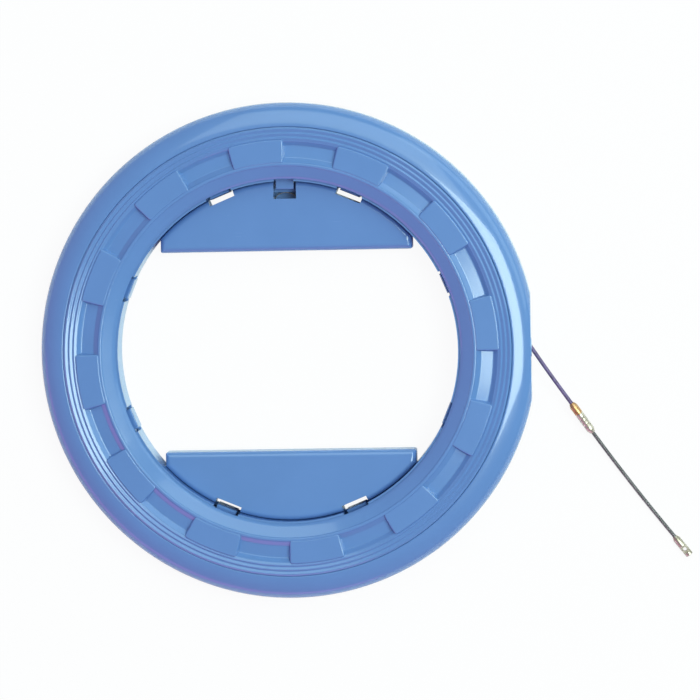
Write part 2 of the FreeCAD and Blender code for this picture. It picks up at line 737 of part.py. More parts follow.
def tape_lead():
    """Last part of the outermost turn, and the straight run from it to the mouth."""
    turns = [FreeCAD.Vector(lead_r * math.cos(math.radians(a)), lead_r * math.sin(math.radians(a)), mouth_z)
             for a in (90 - exit_angle + lead_turn, 90 - exit_angle + lead_turn / 2, 90 - exit_angle)]
    edges = [
        Part.Arc(*turns).toShape(),
        Part.LineSegment(turns[2], exit_point).toShape(),
    ]
    return swept(edges, tape_d, "tape_lead")


def from_mouth(route):
    """Points of a route whose plan is given from the mouth."""
    return [FreeCAD.Vector(flat_x + x, y, z) for x, y, z in route]


def along(shape, start, way):
    """Shape made along +X, moved to a start and turned to a direction."""
    shape.Placement = FreeCAD.Placement(start, FreeCAD.Rotation(axis_x, way))
    return shape


def turned_bar(start, *steps):
    """Bar turned about +X. A point is (distance along the bar, radius)."""
    points = [FreeCAD.Vector(x, r, 0) for x, r in (start,) + steps]
    wire = Part.makePolygon([FreeCAD.Vector(points[0].x, 0, 0)] + points
                            + [FreeCAD.Vector(points[-1].x, 0, 0), FreeCAD.Vector(points[0].x, 0, 0)])
    return Part.Face(wire).revolve(origin, axis_x, 360)


def end_tip():
    """Pulling tip: tapered start, two flats round the cross eye, socket in its end."""
    tip = turned_bar(
        (0, leader_d / 2 + sleeve_lip),
        (tip_nose_l, tip_r),
        (tip_l - tip_chamfer, tip_r),
        (tip_l, tip_r - tip_chamfer),
    )
    flat_x0 = eye_from_start - eye_flat_l / 2
    flat_x1 = eye_from_start + eye_flat_l / 2
    for side in (1, -1):
        z0, z1 = sorted((side * eye_flat_t / 2, side * (tip_r + 1)))
        tip = tip.cut(box(flat_x0, flat_x1, -tip_r - 1, tip_r + 1, z0, z1))
    tip = tip.cut(post(eye_r, eye_from_start, 0, -tip_r, tip_r))
    return tip.cut(Part.makeCylinder(tip_socket_r, tip_socket_l + 1,
                                     FreeCAD.Vector(tip_l - tip_socket_l, 0, 0), axis_x))


def save(name, shape):
    """Write one node and say what it holds."""
    print(f"{name}: {len(shape.Solids)} solid(s), {shape.Volume:.1f} mm3, valid {shape.isValid()}")
    shape.exportStep(os.path.join("parts", name + ".step"))


def main():
    os.makedirs("parts", exist_ok=True)
    save("rear_shell", rear_shell())
    save("front_rim", front_rim())
    save("upper_grip", grip(True))
    save("lower_grip", turned(grip(False), 180))
    save("mouth_bushing", mouth_bushing())
    case_angles = [case_screw_phase + i * 360.0 / case_screw_count for i in range(case_screw_count)]
    save("case_screws", screws_at(boss_ring_r, case_angles))
    save("grip_screws", screws_at(grip_screw_r, [s + t for s in (90, 270) for t in grip_screw_angles]))
    save("brake_tab", brake_tab())
    save("brake_spring", brake_spring())

    save("winding_ring", winding_ring())
    save("drum_flange", drum_flange())
    save("flange_screws", flange_screws())
    save("tape_coil", tape_coil())
    save("tape_anchor", tape_anchor())
    save("anchor_screw", anchor_screw())
    save("tape_lead", tape_lead())

    tape = from_mouth(tape_route)
    save("free_tape", swept(rounded(tape, "free_tape"), tape_d, "free_tape"))
    way = (tape[-1] - tape[-2]).normalize()
    sleeve = turned_bar((0, tape_d / 2 + sleeve_lip), (sleeve_taper_l, sleeve_r), (tape_sleeve_l, sleeve_r))
    save("tape_sleeve", along(sleeve, tape[-1], way))
    joint = tape[-1] + way * tape_sleeve_l
    sleeve = turned_bar((0, sleeve_r), (leader_sleeve_l - sleeve_taper_l, sleeve_r),
                        (leader_sleeve_l, leader_d / 2 + sleeve_lip))
    save("leader_sleeve", along(sleeve, joint, way))

    start = joint + way * leader_sleeve_l
    leader = [start, start + way * leader_first_run] + from_mouth(leader_route)
    path = rounded(leader, "leader")
    sheath = swept(path, leader_d, "leader_spring")
    core_room = swept(path, leader_core_d + 2 * screw_gap, "leader_room")
    save("leader_spring", sheath.cut(core_room))
    save("leader_core", swept(path, leader_core_d, "leader_core"))
    last = leader[-1] - leader[-2]
    save("end_tip", along(end_tip(), leader[-1], FreeCAD.Vector(last.x, last.y, 0)))
    print(f"case radius {case_r:.2f}, height {pad_top_z:.2f}, exit angle {exit_angle:.2f}, "
          f"lead radius {lead_r:.2f}, mouth height {mouth_z:.2f}")


main()
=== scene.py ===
import json
import math
from contextlib import contextmanager

import bmesh
import bpy
from mathutils import Matrix, Vector

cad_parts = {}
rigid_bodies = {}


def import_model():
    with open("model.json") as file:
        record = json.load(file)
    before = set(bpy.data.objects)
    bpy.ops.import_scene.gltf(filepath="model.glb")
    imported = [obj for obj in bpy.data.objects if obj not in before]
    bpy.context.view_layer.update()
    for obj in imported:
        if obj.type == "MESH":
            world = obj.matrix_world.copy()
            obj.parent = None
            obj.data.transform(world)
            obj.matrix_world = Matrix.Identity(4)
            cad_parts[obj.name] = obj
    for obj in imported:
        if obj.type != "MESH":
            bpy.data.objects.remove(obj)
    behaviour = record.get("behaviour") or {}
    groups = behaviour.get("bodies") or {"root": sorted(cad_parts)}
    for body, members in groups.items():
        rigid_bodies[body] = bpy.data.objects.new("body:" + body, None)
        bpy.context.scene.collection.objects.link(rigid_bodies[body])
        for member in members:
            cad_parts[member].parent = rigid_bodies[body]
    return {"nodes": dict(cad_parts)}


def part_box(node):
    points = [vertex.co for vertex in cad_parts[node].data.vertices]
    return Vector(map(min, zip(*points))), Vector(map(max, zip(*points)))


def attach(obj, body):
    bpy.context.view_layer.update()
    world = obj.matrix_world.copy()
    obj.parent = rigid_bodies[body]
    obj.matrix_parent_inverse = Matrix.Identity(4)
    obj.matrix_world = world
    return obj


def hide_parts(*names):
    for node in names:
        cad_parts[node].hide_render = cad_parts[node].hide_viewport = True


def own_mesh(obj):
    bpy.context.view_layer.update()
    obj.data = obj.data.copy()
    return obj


bl_info = {
    "name": "Fish Tape Reel",
    "version": (1, 0, 0),
    "blender": (4, 5, 0),
    "location": "3D Viewport > Sidebar > Tape Reel",
    "description": "Hand-held fish tape reel with a winding ring, a brake tab, a free leader and its tip",
    "category": "Add Mesh",
}

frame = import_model()

MM = 0.001

# Sizes read from the frame. These and the next ones, down to the shelf's height, are in millimetres.
CASE_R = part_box("rear_shell")[1].y / MM
RING_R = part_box("winding_ring")[1].x / MM
RING_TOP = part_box("winding_ring")[1].z / MM
BARREL_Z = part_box("winding_ring")[0].z / MM

# Winding ring: ridges, zone of pads and pockets, bead, slope and its rounded edge, from the outside
RIDGE_COUNT = 3
RIDGE_PITCH = 3.1
RIDGE_H = 0.7
RIDGE_LEAN = 0.3         # place of a ridge's crest in its pitch, from the outside
FINGER_W = 14.1
BEAD_W = 3.2
BEAD_H = 0.9
BEAD_DROP = 0.3          # bead below the pads' tops
SLOPE_W = 8.7
SLOPE = 28.0             # degrees
LIP_ROUND = 2.6          # width of the slope's rounded inner edge
LIP_SLOPE = 50.0         # degrees, at the end of that edge
RING_T = 2.4             # wall under the pockets
SEAM_LIP = 0.2           # edge of the ring into the seam
SEAM_LIP_H = 0.9         # height of that edge, which ends just below the ridges' valleys
SHELF_W = 3.0            # overlap of the ring and the rim's shelf
SHELF_STEP = 1.1

# Barrel behind the ring
BARREL_INSET = 1.3       # from the slope's inner edge to the barrel's bore
BARREL_T = 4.3
CATCH_DEPTH = 1.9        # step inside the barrel that the snap tongues hook over
CATCH_H = 7.6            # that step above the barrel's rear end

# Pockets and pads
POCKET_DROP = 2.0        # below the bead's foot
POCKET_FALL = 1.0        # pocket deeper at its outer side
POCKET_WALL_W = 2.9      # slanted sides of a pocket
PAD_COUNT = 12
PAD_PHASE = -0.2         # degrees
PAD_H = 6.0
PAD_FALL = 0.2           # top lower at its outer side
PAD_OVERLAP = 0.9        # pad into the bead and the ridges beside it
PAD_FLARE = 1.9          # pad wider at its foot
PAD_EDGE = 0.7           # rounding of the top's edges
PAD_CORNER = 1.5         # rounding of the corners in plan
PAD_CORNER_STEPS = 5
PAD_SIDE_STEPS = (24, 8)  # along the sides that run round the ring, and along the others

# Band of the front rim, from the seam to the outer wall
SEAM = 0.3
RIM_ROUND = 1.1          # width of the band's rounded inner edge
RIM_DROP = 0.88          # fall of that edge
RIM_BULGE = 0.28         # how far it swells from its chord
BAND_W = 11.7
SHOULDER_W = 5.1
BAND_SLOPES = (5.0, 31.5, 90.0)  # degrees, at the seam, at the shoulder and at the wall
PARTING_EDGE = (0.15, 0.25)      # depth and height of the slanted edge at the parting line
SHELF_Z = 26.0           # top of the rim's shelf under the ring

# Free tape and leader, in metres. The routes start at the flat of the rim.
FLAT_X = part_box("front_rim")[1].x
TAPE_ROUTE = [
    (0.0, 0.0, 0.01245),
    (0.0066, -0.0100, 0.01245),
    (0.0167, -0.0249, 0.0111),
    (0.0270, -0.0396, 0.0090),
]
LEADER_ROUTE = [
    (0.04142, -0.06018, 0.00606),
    (0.04940, -0.07157, 0.004433),
    (0.0600, -0.0862, 0.00345),
    (0.0720, -0.1022, 0.00285),
    (0.0842, -0.1181, 0.00265),
    (0.0967, -0.1337, 0.0026),
]
TAPE_D = 0.0027
LEADER_D = 0.0028
PARTING_Z = TAPE_ROUTE[0][2] / MM  # millimetres: the halves of the case meet at the height of the mouth

# Sleeves, in millimetres
SLEEVE_R = 2.8
SLEEVE_EDGE = 0.25       # chamfer where the sleeves meet
BRASS_L = 9.0
NICKEL_L = 16.3
GROOVES = (4.2, 6.8, 9.4)  # places of the grooves along the nickel sleeve
GROOVE_W = 0.9
GROOVE_DEPTH = 0.16

# Screws: radii of their rings in millimetres, and angles in degrees
CASE_SCREW_RING = CASE_R - 7.7
CASE_SCREWS = 8
CASE_SCREW_PHASE = 22.5
GRIP_SCREW_RING = 108.0
GRIP_SCREW_ANGLES = (-35.0, -11.5, 11.5, 35.0)
FLANGE_SCREW_RING = 122.35
FLANGE_SCREWS = 6

# Stage, in metres
FLOOR_REACH = 3.0
FLOOR_GAP = 0.05 * MM
VIEW_MIDDLE = Vector((0.0423, -0.0003, 0.010))
SENSOR_W = 36.0          # millimetres
LAMP_REACH = 5.0
LAMPS = {                # lean from straight above and side in degrees, width, height, colour
    "key": (28.2, 6, 2.7, 2.85, (0.82, 1.0, 0.93)),
    "top": (42, 80, 4.5, 4.0, (0.82, 1.0, 0.96)),
    "side": (68, 35, 5.0, 1.8, (0.8, 1.0, 1.0)),
    "fill": (81, 235, 12.0, 1.3, (1.0, 0.24, 0.88)),
}
ROOM_LEFT = (0.38, 0.20, 0.38, 1)    # light from all round, on the left and below
ROOM_RIGHT = (0.16, 0.24, 0.25, 1)   # and from the upper right
ROOM_WAY = (0.72, 0.52, 0.46)

# What properties of one kind share
COLOUR = {"subtype": "COLOR", "size": 3, "min": 0, "max": 1}
ANGLE = {"subtype": "ANGLE", "unit": "ROTATION"}
SMALL_LENGTH = {"precision": 5, "subtype": "DISTANCE", "unit": "LENGTH"}
POWER = {"min": 0, "unit": "POWER"}


class ReelColours(bpy.types.PropertyGroup):
    """Colours of the finishes."""
    case_blue: bpy.props.FloatVectorProperty(
        name="Case blue", description="Moulded plastic of the case, the grips and the ring",
        default=(0.136, 0.272, 0.590), **COLOUR)
    tape_violet: bpy.props.FloatVectorProperty(
        name="Tape violet", description="Lighter tone of the mottled tape",
        default=(0.19, 0.125, 0.29), **COLOUR)
    brass: bpy.props.FloatVectorProperty(
        name="Brass", description="Sleeve at the end of the tape",
        default=(0.86, 0.50, 0.25), **COLOUR)
    nickel: bpy.props.FloatVectorProperty(
        name="Dull nickel", description="Sleeve that holds the leader, and the tip",
        default=(0.78, 0.66, 0.54), **COLOUR)
    steel: bpy.props.FloatVectorProperty(
        name="Steel", description="Wound leader wire, anchor plate and brake spring",
        default=(0.30, 0.28, 0.28), **COLOUR)
    floor_white: bpy.props.FloatVectorProperty(
        name="Floor", description="Pale floor under the reel",
        default=(0.9, 0.9, 0.91), **COLOUR)


class ReelSizes(bpy.types.PropertyGroup):
    """Sizes and mesh steps a user would change."""
    segments: bpy.props.IntProperty(
        name="Ring segments", description="Steps round the large turned pieces",
        default=360, min=48, max=720)
    edge_round: bpy.props.FloatProperty(
        name="Edge rounding", description="Small rounding along moulded edges",
        default=0.3 * MM, min=0, max=0.001, **SMALL_LENGTH)
    wire: bpy.props.FloatProperty(
        name="Leader wire", description="Thickness of the wire that the leader is wound from",
        default=0.55 * MM, min=0.0002, max=0.001, **SMALL_LENGTH)
    wire_pitch: bpy.props.FloatProperty(
        name="Leader pitch", description="Distance from one turn of the leader's wire to the next",
        default=0.62 * MM, min=0.0003, max=0.002, **SMALL_LENGTH)
    coil_layers: bpy.props.IntProperty(
        name="Coil layers", description="Layers of tape wound on the drum", default=5, min=1, max=8)
    coil_rows: bpy.props.IntProperty(
        name="Coil rows", description="Turns of tape side by side in a layer", default=5, min=1, max=8)


class ReelStage(bpy.types.PropertyGroup):
    """Lamps and camera."""
    camera_distance: bpy.props.FloatProperty(
        name="Camera distance", description="Distance of the camera from the middle of its view",
        default=2.5, min=0.5, max=6, unit="LENGTH")
    camera_tilt: bpy.props.FloatProperty(
        name="Camera tilt", description="Lean of the line of sight from straight down",
        default=math.radians(5.5), **ANGLE)
    camera_side: bpy.props.FloatProperty(
        name="Camera side", description="Direction the camera leans towards, from +X towards +Y",
        default=math.radians(45), **ANGLE)
    camera_roll: bpy.props.FloatProperty(
        name="Camera roll", description="Turn of the camera about its line of sight",
        default=math.radians(-1.2), **ANGLE)
    view_width: bpy.props.FloatProperty(
        name="View width", description="Width of the view at the middle of the reel",
        default=0.4836, min=0.1, max=2, unit="LENGTH")
    key_power: bpy.props.FloatProperty(
        name="Key power", description="Power of the large soft lamp high on the right",
        default=171.0, **POWER)
    top_power: bpy.props.FloatProperty(
        name="Top power", description="Power of the broad soft lamp beyond the top edge",
        default=74.0, **POWER)
    side_power: bpy.props.FloatProperty(
        name="Side power", description="Power of the low soft lamp beyond the upper right",
        default=31.0, **POWER)
    fill_power: bpy.props.FloatProperty(
        name="Fill power", description="Power of the low tinted lamp beyond the lower left",
        default=50.0, **POWER)
    world_strength: bpy.props.FloatProperty(
        name="World strength", description="Strength of the light from all round", default=1.0, min=0)


# Meshes

def link(obj):
    bpy.context.scene.collection.objects.link(obj)
    return obj


def mesh_object(name, verts, edges=(), faces=()):
    """New object from plain mesh data."""
    mesh = bpy.data.meshes.new(name)
    mesh.from_pydata([tuple(v) for v in verts], list(edges), list(faces))
    mesh.update()
    return link(bpy.data.objects.new(name, mesh))


def object_from(name, shape):
    """New object from an edited shape, which is freed."""
    mesh = bpy.data.meshes.new(name)
    shape.to_mesh(mesh)
    shape.free()
    return link(bpy.data.objects.new(name, mesh))


@contextmanager
def opened(obj):
    """Shape of an object's mesh for editing, which is written back at the end."""
    shape = bmesh.new()
    shape.from_mesh(obj.data)
    yield shape
    shape.to_mesh(obj.data)
    shape.free()


def settle(obj):
    """Turn an object with modifiers into the plain mesh that they make."""
    graph = bpy.context.evaluated_depsgraph_get()
    mesh = bpy.data.meshes.new_from_object(obj.evaluated_get(graph), preserve_all_data_layers=True,
                                           depsgraph=graph)
    obj.modifiers.clear()
    old, obj.data = obj.data, mesh
    bpy.data.meshes.remove(old)
    mesh.name = obj.name
    return obj


def discard(*objects):
    """Remove objects with their data."""
    bpy.data.batch_remove([block for obj in objects for block in (obj, obj.data)])


def joined(name, objects, finish):
    """One mesh object from several, all in one finish."""
    shape = bmesh.new()
    for obj in objects:
        shape.from_mesh(obj.data)
    for face in shape.faces:
        face.material_index = 0
    whole = object_from(name, shape)
    whole.data.materials.append(finish)
    discard(*objects)
    return whole


def smooth_by_angle(obj, degrees):
    """Smooth shading, with edges past an angle kept sharp."""
    limit = math.radians(degrees)
    with opened(obj) as shape:
        for face in shape.faces:
            face.smooth = True
        for edge in shape.edges:
            edge.smooth = len(edge.link_faces) == 2 and edge.calc_face_angle(0) < limit
    return obj


def turn_out(shape):
    """Reverse a closed shape whose faces all point inwards."""
    if shape.calc_volume(signed=True) < 0:
        bmesh.ops.reverse_faces(shape, faces=shape.faces)


def closed_solid(name, verts, faces):
    """Solid from its vertices and faces, with its doubles merged and its faces pointing outwards."""
    obj = mesh_object(name, verts, faces=faces)
    with opened(obj) as shape:
        bmesh.ops.remove_doubles(shape, verts=shape.verts, dist=0.001 * MM)
        bmesh.ops.recalc_face_normals(shape, faces=shape.faces)
        turn_out(shape)
    return obj


def bands(loops, size):
    """Faces between loops of vertices that follow one another, each loop of the same size."""
    faces = []
    for first in range(0, (loops - 1) * size, size):
        for k in range(size):
            n = (k + 1) % size
            faces.append((first + k, first + n, first + size + n, first + size + k))
    return faces


def finish_piece(obj, body, node):
    """Set what a finished piece rides on, and hide the CAD node it stands for."""
    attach(obj, body)
    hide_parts(node)
    return obj


def dressed(node, name, body, finish, edge_round=None, smooth_below=36):
    """Finished piece from a CAD node's own mesh, with its flat faces joined and its edges rounded."""
    shape = bmesh.new()
    shape.from_mesh(frame["nodes"][node].data)
    bmesh.ops.remove_doubles(shape, verts=shape.verts, dist=0.004 * MM)
    if edge_round:
        bmesh.ops.dissolve_degenerate(shape, edges=shape.edges, dist=0.002 * MM)
        bmesh.ops.dissolve_limit(shape, angle_limit=math.radians(0.4), verts=shape.verts, edges=shape.edges)
    for face in shape.faces:
        face.material_index = 0
    obj = smooth_by_angle(object_from(name, shape), smooth_below)
    obj.data.materials.append(finish)
    if edge_round:
        bevel = obj.modifiers.new("edge_round", "BEVEL")
        bevel.width = edge_round
        bevel.segments = 2
        bevel.limit_method = "ANGLE"
        bevel.angle_limit = math.radians(smooth_below)
        bevel.use_clamp_overlap = True
        bevel.harden_normals = True
    weighted = obj.modifiers.new("flat_faces_first", "WEIGHTED_NORMAL")
    weighted.keep_sharp = True
    return finish_piece(settle(obj), body, node)


# Outlines

def swing(centre, start, turn, steps):
    """Points on an arc about a centre, from start clockwise through a turn."""
    return [centre + Matrix.Rotation(-turn * k / steps, 2) @ (start - centre) for k in range(steps + 1)]


def filleted(points, steps=4, large=0.55, guard=0.05):
    """Closed outline in millimetres with its corners rounded. A point is (r, z) or (r, z, radius). A point
    beside each large rounding keeps the straight side next to it flat in its shading."""
    outline = []
    for i, (r, z, *radius) in enumerate(points):
        here = Vector((r, z))
        if not radius:
            outline.append(here)
            continue
        before = Vector(points[i - 1][:2]) - here
        after = Vector(points[(i + 1) % len(points)][:2]) - here
        back, on = before.normalized(), after.normalized()
        half = before.angle(after) / 2
        trim = min(radius[0] / math.tan(half), 0.45 * before.length, 0.45 * after.length)
        rounding = trim * math.tan(half)
        start, end = here + back * trim, here + on * trim
        centre = here + (back + on).normalized() * (rounding / math.sin(half))
        if rounding > large and before.length > 2.4 * trim:
            outline.append(start + back * guard)
        outline += swing(centre, start, (start - centre).angle_signed(end - centre), steps)
        if rounding > large and after.length > 2.4 * trim:
            outline.append(end + on * guard)
    return outline


def arc(start, end, swell, steps):
    """Points after start up to end on an arc that swells to the right of its way."""
    start, end = Vector(start), Vector(end)
    way = end - start
    left = Vector((-way.y, way.x)).normalized()
    radius = (way.length ** 2 / 4 + swell ** 2) / (2 * swell)
    centre = (start + end) / 2 + left * (radius - swell)
    return swing(centre, start, -2 * math.asin(way.length / 2 / radius), steps)[1:]


def drop(width, slope0, slope1):
    """How far an arc falls that is this wide in plan and turns from one slope to the other."""
    return width * math.tan(math.radians((slope0 + slope1) / 2))


def bulge(width, slope0, slope1):
    """How far such an arc swells from its chord."""
    chord = width / math.cos(math.radians((slope0 + slope1) / 2))
    return chord / 2 * math.tan(math.radians((slope1 - slope0) / 4))


# Node trees

def add(tree, kind, inputs=None, **settings):
    """Add a node with its settings. Inputs are values, or sockets to link."""
    made = tree.nodes.new(kind)
    for key, value in settings.items():
        setattr(made, key, value)
    for key, value in (inputs or {}).items():
        if isinstance(value, bpy.types.NodeSocket):
            tree.links.new(value, made.inputs[key])
        else:
            made.inputs[key].default_value = value
    return made


def out(tree, kind, inputs=None, **settings):
    """Add a node as add does, and give its first output."""
    return add(tree, kind, inputs, **settings).outputs[0]


def maths(tree, operation, *values):
    return out(tree, "ShaderNodeMath", dict(enumerate(values)), operation=operation)


def new_tree(kind, name, inputs, outputs):
    """Node tree with named inputs and outputs, and the sockets of its inputs."""
    tree = bpy.data.node_groups.new(name, kind)
    for way, sockets in (("INPUT", inputs), ("OUTPUT", outputs)):
        for label, socket in sockets.items():
            tree.interface.new_socket(label, in_out=way, socket_type="NodeSocket" + socket)
    return tree, tree.nodes.new("NodeGroupInput").outputs


def close_tree(tree, *sockets):
    """Link sockets to a tree's outputs."""
    end = add(tree, "NodeGroupOutput")
    for i, socket in enumerate(sockets):
        tree.links.new(socket, end.inputs[i])
    return tree


def tree_of(maker):
    """A maker's tree, which has the maker's name."""
    return bpy.data.node_groups.get(maker.__name__) or maker()


def geometry_tree(name, **inputs):
    """Geometry tree with named inputs, and their sockets."""
    return new_tree("GeometryNodeTree", name, {"Geometry": "Geometry", **inputs, "Material": "Material"},
                    {"Geometry": "Geometry"})


def close_geometry(tree, given, geometry):
    """End a geometry tree with real geometry that has its material."""
    real = out(tree, "GeometryNodeRealizeInstances", {"Geometry": geometry})
    return close_tree(tree, out(tree, "GeometryNodeSetMaterial",
                                {"Geometry": real, "Material": given["Material"]}))


def apply_tree(obj, maker, **values):
    """Run a geometry tree on an object with named inputs, and keep the mesh that it makes."""
    modifier = obj.modifiers.new(maker.__name__, "NODES")
    modifier.node_group = tree_of(maker)
    for item in modifier.node_group.interface.items_tree:
        if item.in_out == "INPUT" and item.name.lower() in values:
            modifier[item.identifier] = values[item.name.lower()]
    return settle(obj)


def sharpened(tree, geometry, degrees):
    """Smooth shading with sharp edges past an angle."""
    smooth = out(tree, "GeometryNodeSetShadeSmooth", {"Geometry": geometry}, domain="FACE")
    angle = out(tree, "GeometryNodeInputMeshEdgeAngle")
    sharp = out(tree, "FunctionNodeCompare", {0: angle, 1: math.radians(degrees)},
                data_type="FLOAT", operation="GREATER_THAN")
    return out(tree, "GeometryNodeSetShadeSmooth",
               {"Geometry": smooth, "Selection": sharp, "Shade Smooth": False}, domain="EDGE")


def share_of_turn(tree, part, whole):
    """Angle that is the same share of a full turn as a part is of the whole."""
    return maths(tree, "DIVIDE", maths(tree, "MULTIPLY", part, math.tau), whole)


def turned_outline():
    """Turn a closed outline of vertices, in the XZ plane, about Z."""
    tree, given = geometry_tree("turned_outline", Segments="Int")
    outline, segments = given["Geometry"], given["Segments"]
    count = out(tree, "GeometryNodeAttributeDomainSize", {"Geometry": outline}, component="MESH")
    rows = maths(tree, "ADD", count, 1.0)
    around = maths(tree, "ADD", segments, 1.0)
    grid = out(tree, "GeometryNodeMeshGrid", {"Vertices X": around, "Vertices Y": rows})
    index = out(tree, "GeometryNodeInputIndex")
    column = maths(tree, "FLOOR", maths(tree, "DIVIDE", maths(tree, "ADD", index, 0.5), rows))
    row = maths(tree, "SUBTRACT", index, maths(tree, "MULTIPLY", column, rows))
    row = maths(tree, "MODULO", row, count)
    place = out(tree, "GeometryNodeInputPosition")
    point = out(tree, "GeometryNodeSampleIndex", {"Geometry": outline, "Value": place, "Index": row},
                data_type="FLOAT_VECTOR", domain="POINT")
    spun = out(tree, "ShaderNodeVectorRotate",
               {"Vector": point, "Angle": share_of_turn(tree, column, segments)}, rotation_type="Z_AXIS")
    moved = out(tree, "GeometryNodeSetPosition", {"Geometry": grid, "Position": spun})
    closed = out(tree, "GeometryNodeMergeByDistance", {"Geometry": moved, "Distance": 0.002 * MM})
    return close_geometry(tree, given, sharpened(tree, closed, 32))


def round_copies():
    """Copies of the geometry, evenly spaced about Z from a first angle in degrees."""
    tree, given = geometry_tree("round_copies", Count="Int", First="Float")
    points = out(tree, "GeometryNodePoints", {"Count": given["Count"]})
    index = out(tree, "GeometryNodeInputIndex")
    turn = maths(tree, "ADD", share_of_turn(tree, index, given["Count"]),
                 maths(tree, "RADIANS", given["First"]))
    turned = out(tree, "ShaderNodeCombineXYZ", {"Z": turn})
    copies = out(tree, "GeometryNodeInstanceOnPoints",
                 {"Points": points, "Instance": given["Geometry"], "Rotation": turned})
    return close_geometry(tree, given, copies)


def rod_along(tree, path, thickness, sides, caps):
    """Round rod along a path."""
    section = out(tree, "GeometryNodeCurvePrimitiveCircle",
                  {"Resolution": sides, "Radius": maths(tree, "MULTIPLY", thickness, 0.5)})
    rod = out(tree, "GeometryNodeCurveToMesh", {"Curve": path, "Profile Curve": section, "Fill Caps": caps})
    return out(tree, "GeometryNodeSetShadeSmooth", {"Geometry": rod})


def wound_wire(points_per_turn=14.0):
    """Wire wound closely round a line of edges, up to an outer radius."""
    tree, given = geometry_tree("wound_wire", Radius="Float", Wire="Float", Pitch="Float")
    line = out(tree, "GeometryNodeMeshToCurve", {"Mesh": given["Geometry"]})
    turns = maths(tree, "DIVIDE", out(tree, "GeometryNodeCurveLength", {"Curve": line}), given["Pitch"])
    steps = maths(tree, "MULTIPLY", turns, points_per_turn)
    fine = out(tree, "GeometryNodeResampleCurve", {"Curve": line, "Count": steps}, mode="COUNT")
    along = add(tree, "GeometryNodeSplineParameter").outputs["Length"]
    normal = out(tree, "GeometryNodeInputNormal")
    tangent = out(tree, "GeometryNodeInputTangent")
    angle = share_of_turn(tree, along, given["Pitch"])
    arm = out(tree, "ShaderNodeVectorRotate", {"Vector": normal, "Axis": tangent, "Angle": angle},
              rotation_type="AXIS_ANGLE")
    reach = maths(tree, "SUBTRACT", given["Radius"], maths(tree, "MULTIPLY", given["Wire"], 0.5))
    offset = out(tree, "ShaderNodeVectorMath", {0: arm, "Scale": reach}, operation="SCALE")
    helix = out(tree, "GeometryNodeSetPosition", {"Geometry": fine, "Offset": offset})
    return close_geometry(tree, given, rod_along(tree, helix, given["Wire"], 8, True))


def coil_of_hoops():
    """Closed hoops of tape about Z. A vertex of the geometry has a hoop's radius as its x, and its height."""
    tree, given = geometry_tree("coil_of_hoops", Thickness="Float")
    points = out(tree, "GeometryNodeMeshToPoints", {"Mesh": given["Geometry"]})
    radius = out(tree, "ShaderNodeSeparateXYZ", {0: out(tree, "GeometryNodeInputPosition")})
    hoop = out(tree, "GeometryNodeCurvePrimitiveCircle", {"Resolution": 160, "Radius": 1.0})
    size = out(tree, "ShaderNodeCombineXYZ", {"X": radius, "Y": radius, "Z": 1.0})
    hoops = out(tree, "GeometryNodeInstanceOnPoints", {"Points": points, "Instance": hoop, "Scale": size})
    back = out(tree, "ShaderNodeCombineXYZ", {"X": maths(tree, "MULTIPLY", radius, -1.0)})
    centred = out(tree, "GeometryNodeTranslateInstances",
                  {"Instances": hoops, "Translation": back, "Local Space": False})
    paths = out(tree, "GeometryNodeRealizeInstances", {"Geometry": centred})
    return close_geometry(tree, given, rod_along(tree, paths, given["Thickness"], 10, False))


def turned(name, outline, segments, finish):
    """Solid turned about the ring's axis from a closed outline in millimetres."""
    count = len(outline)
    edges = [(i, (i + 1) % count) for i in range(count)]
    obj = mesh_object(name, [(r * MM, 0, z * MM) for r, z in outline], edges)
    apply_tree(obj, turned_outline, segments=segments, material=finish)
    with opened(obj) as shape:
        turn_out(shape)
    return obj


def ring_of(name, piece, count, first, finish):
    """Evenly spaced copies of a piece about the ring's axis, in its place."""
    piece.name = name
    return apply_tree(piece, round_copies, count=count, first=first, material=finish)


# Materials

def finish_of(name, maker, *values, **options):
    """Material by its name, made when it is first asked for."""
    return bpy.data.materials.get(name) or maker(name, *values, **options)


def new_material(name):
    """New material with its tree and its Principled shader."""
    made = bpy.data.materials.new(name)
    made.use_nodes = True
    return made, made.node_tree, made.node_tree.nodes["Principled BSDF"]


def object_place(tree):
    """Place that patterns read."""
    return add(tree, "ShaderNodeTexCoord").outputs["Object"]


def noise(tree, vector, scale, detail=2.0, roughness=0.5, distortion=0.0):
    return out(tree, "ShaderNodeTexNoise", {"Vector": vector, "Scale": scale, "Detail": detail,
                                            "Roughness": roughness, "Distortion": distortion})


def ramp(tree, value, low, high, from_low=0.0, from_high=1.0):
    """Value spread from one span to another."""
    return out(tree, "ShaderNodeMapRange", {"Value": value, "From Min": from_low, "From Max": from_high,
                                            "To Min": low, "To Max": high})


def mix(tree, factor, first, second):
    """Mixed colour."""
    return add(tree, "ShaderNodeMix", {"Factor": factor, "A": first, "B": second},
               data_type="RGBA").outputs["Result"]


def skin_tree(name, **inputs):
    """Shader group that gives a colour, a roughness and a height."""
    return new_tree("ShaderNodeTree", name, {"Colour": "Color", **inputs},
                    {"Colour": "Color", "Roughness": "Float", "Height": "Float"})


def put_on(tree, shader, colour, roughness, height, strength, depth):
    """Feed a shader its colour, its roughness and the bumps of a height."""
    bump = out(tree, "ShaderNodeBump", {"Strength": strength, "Distance": depth, "Height": height})
    for key, socket in (("Base Color", colour), ("Roughness", roughness), ("Normal", bump)):
        tree.links.new(socket, shader.inputs[key])


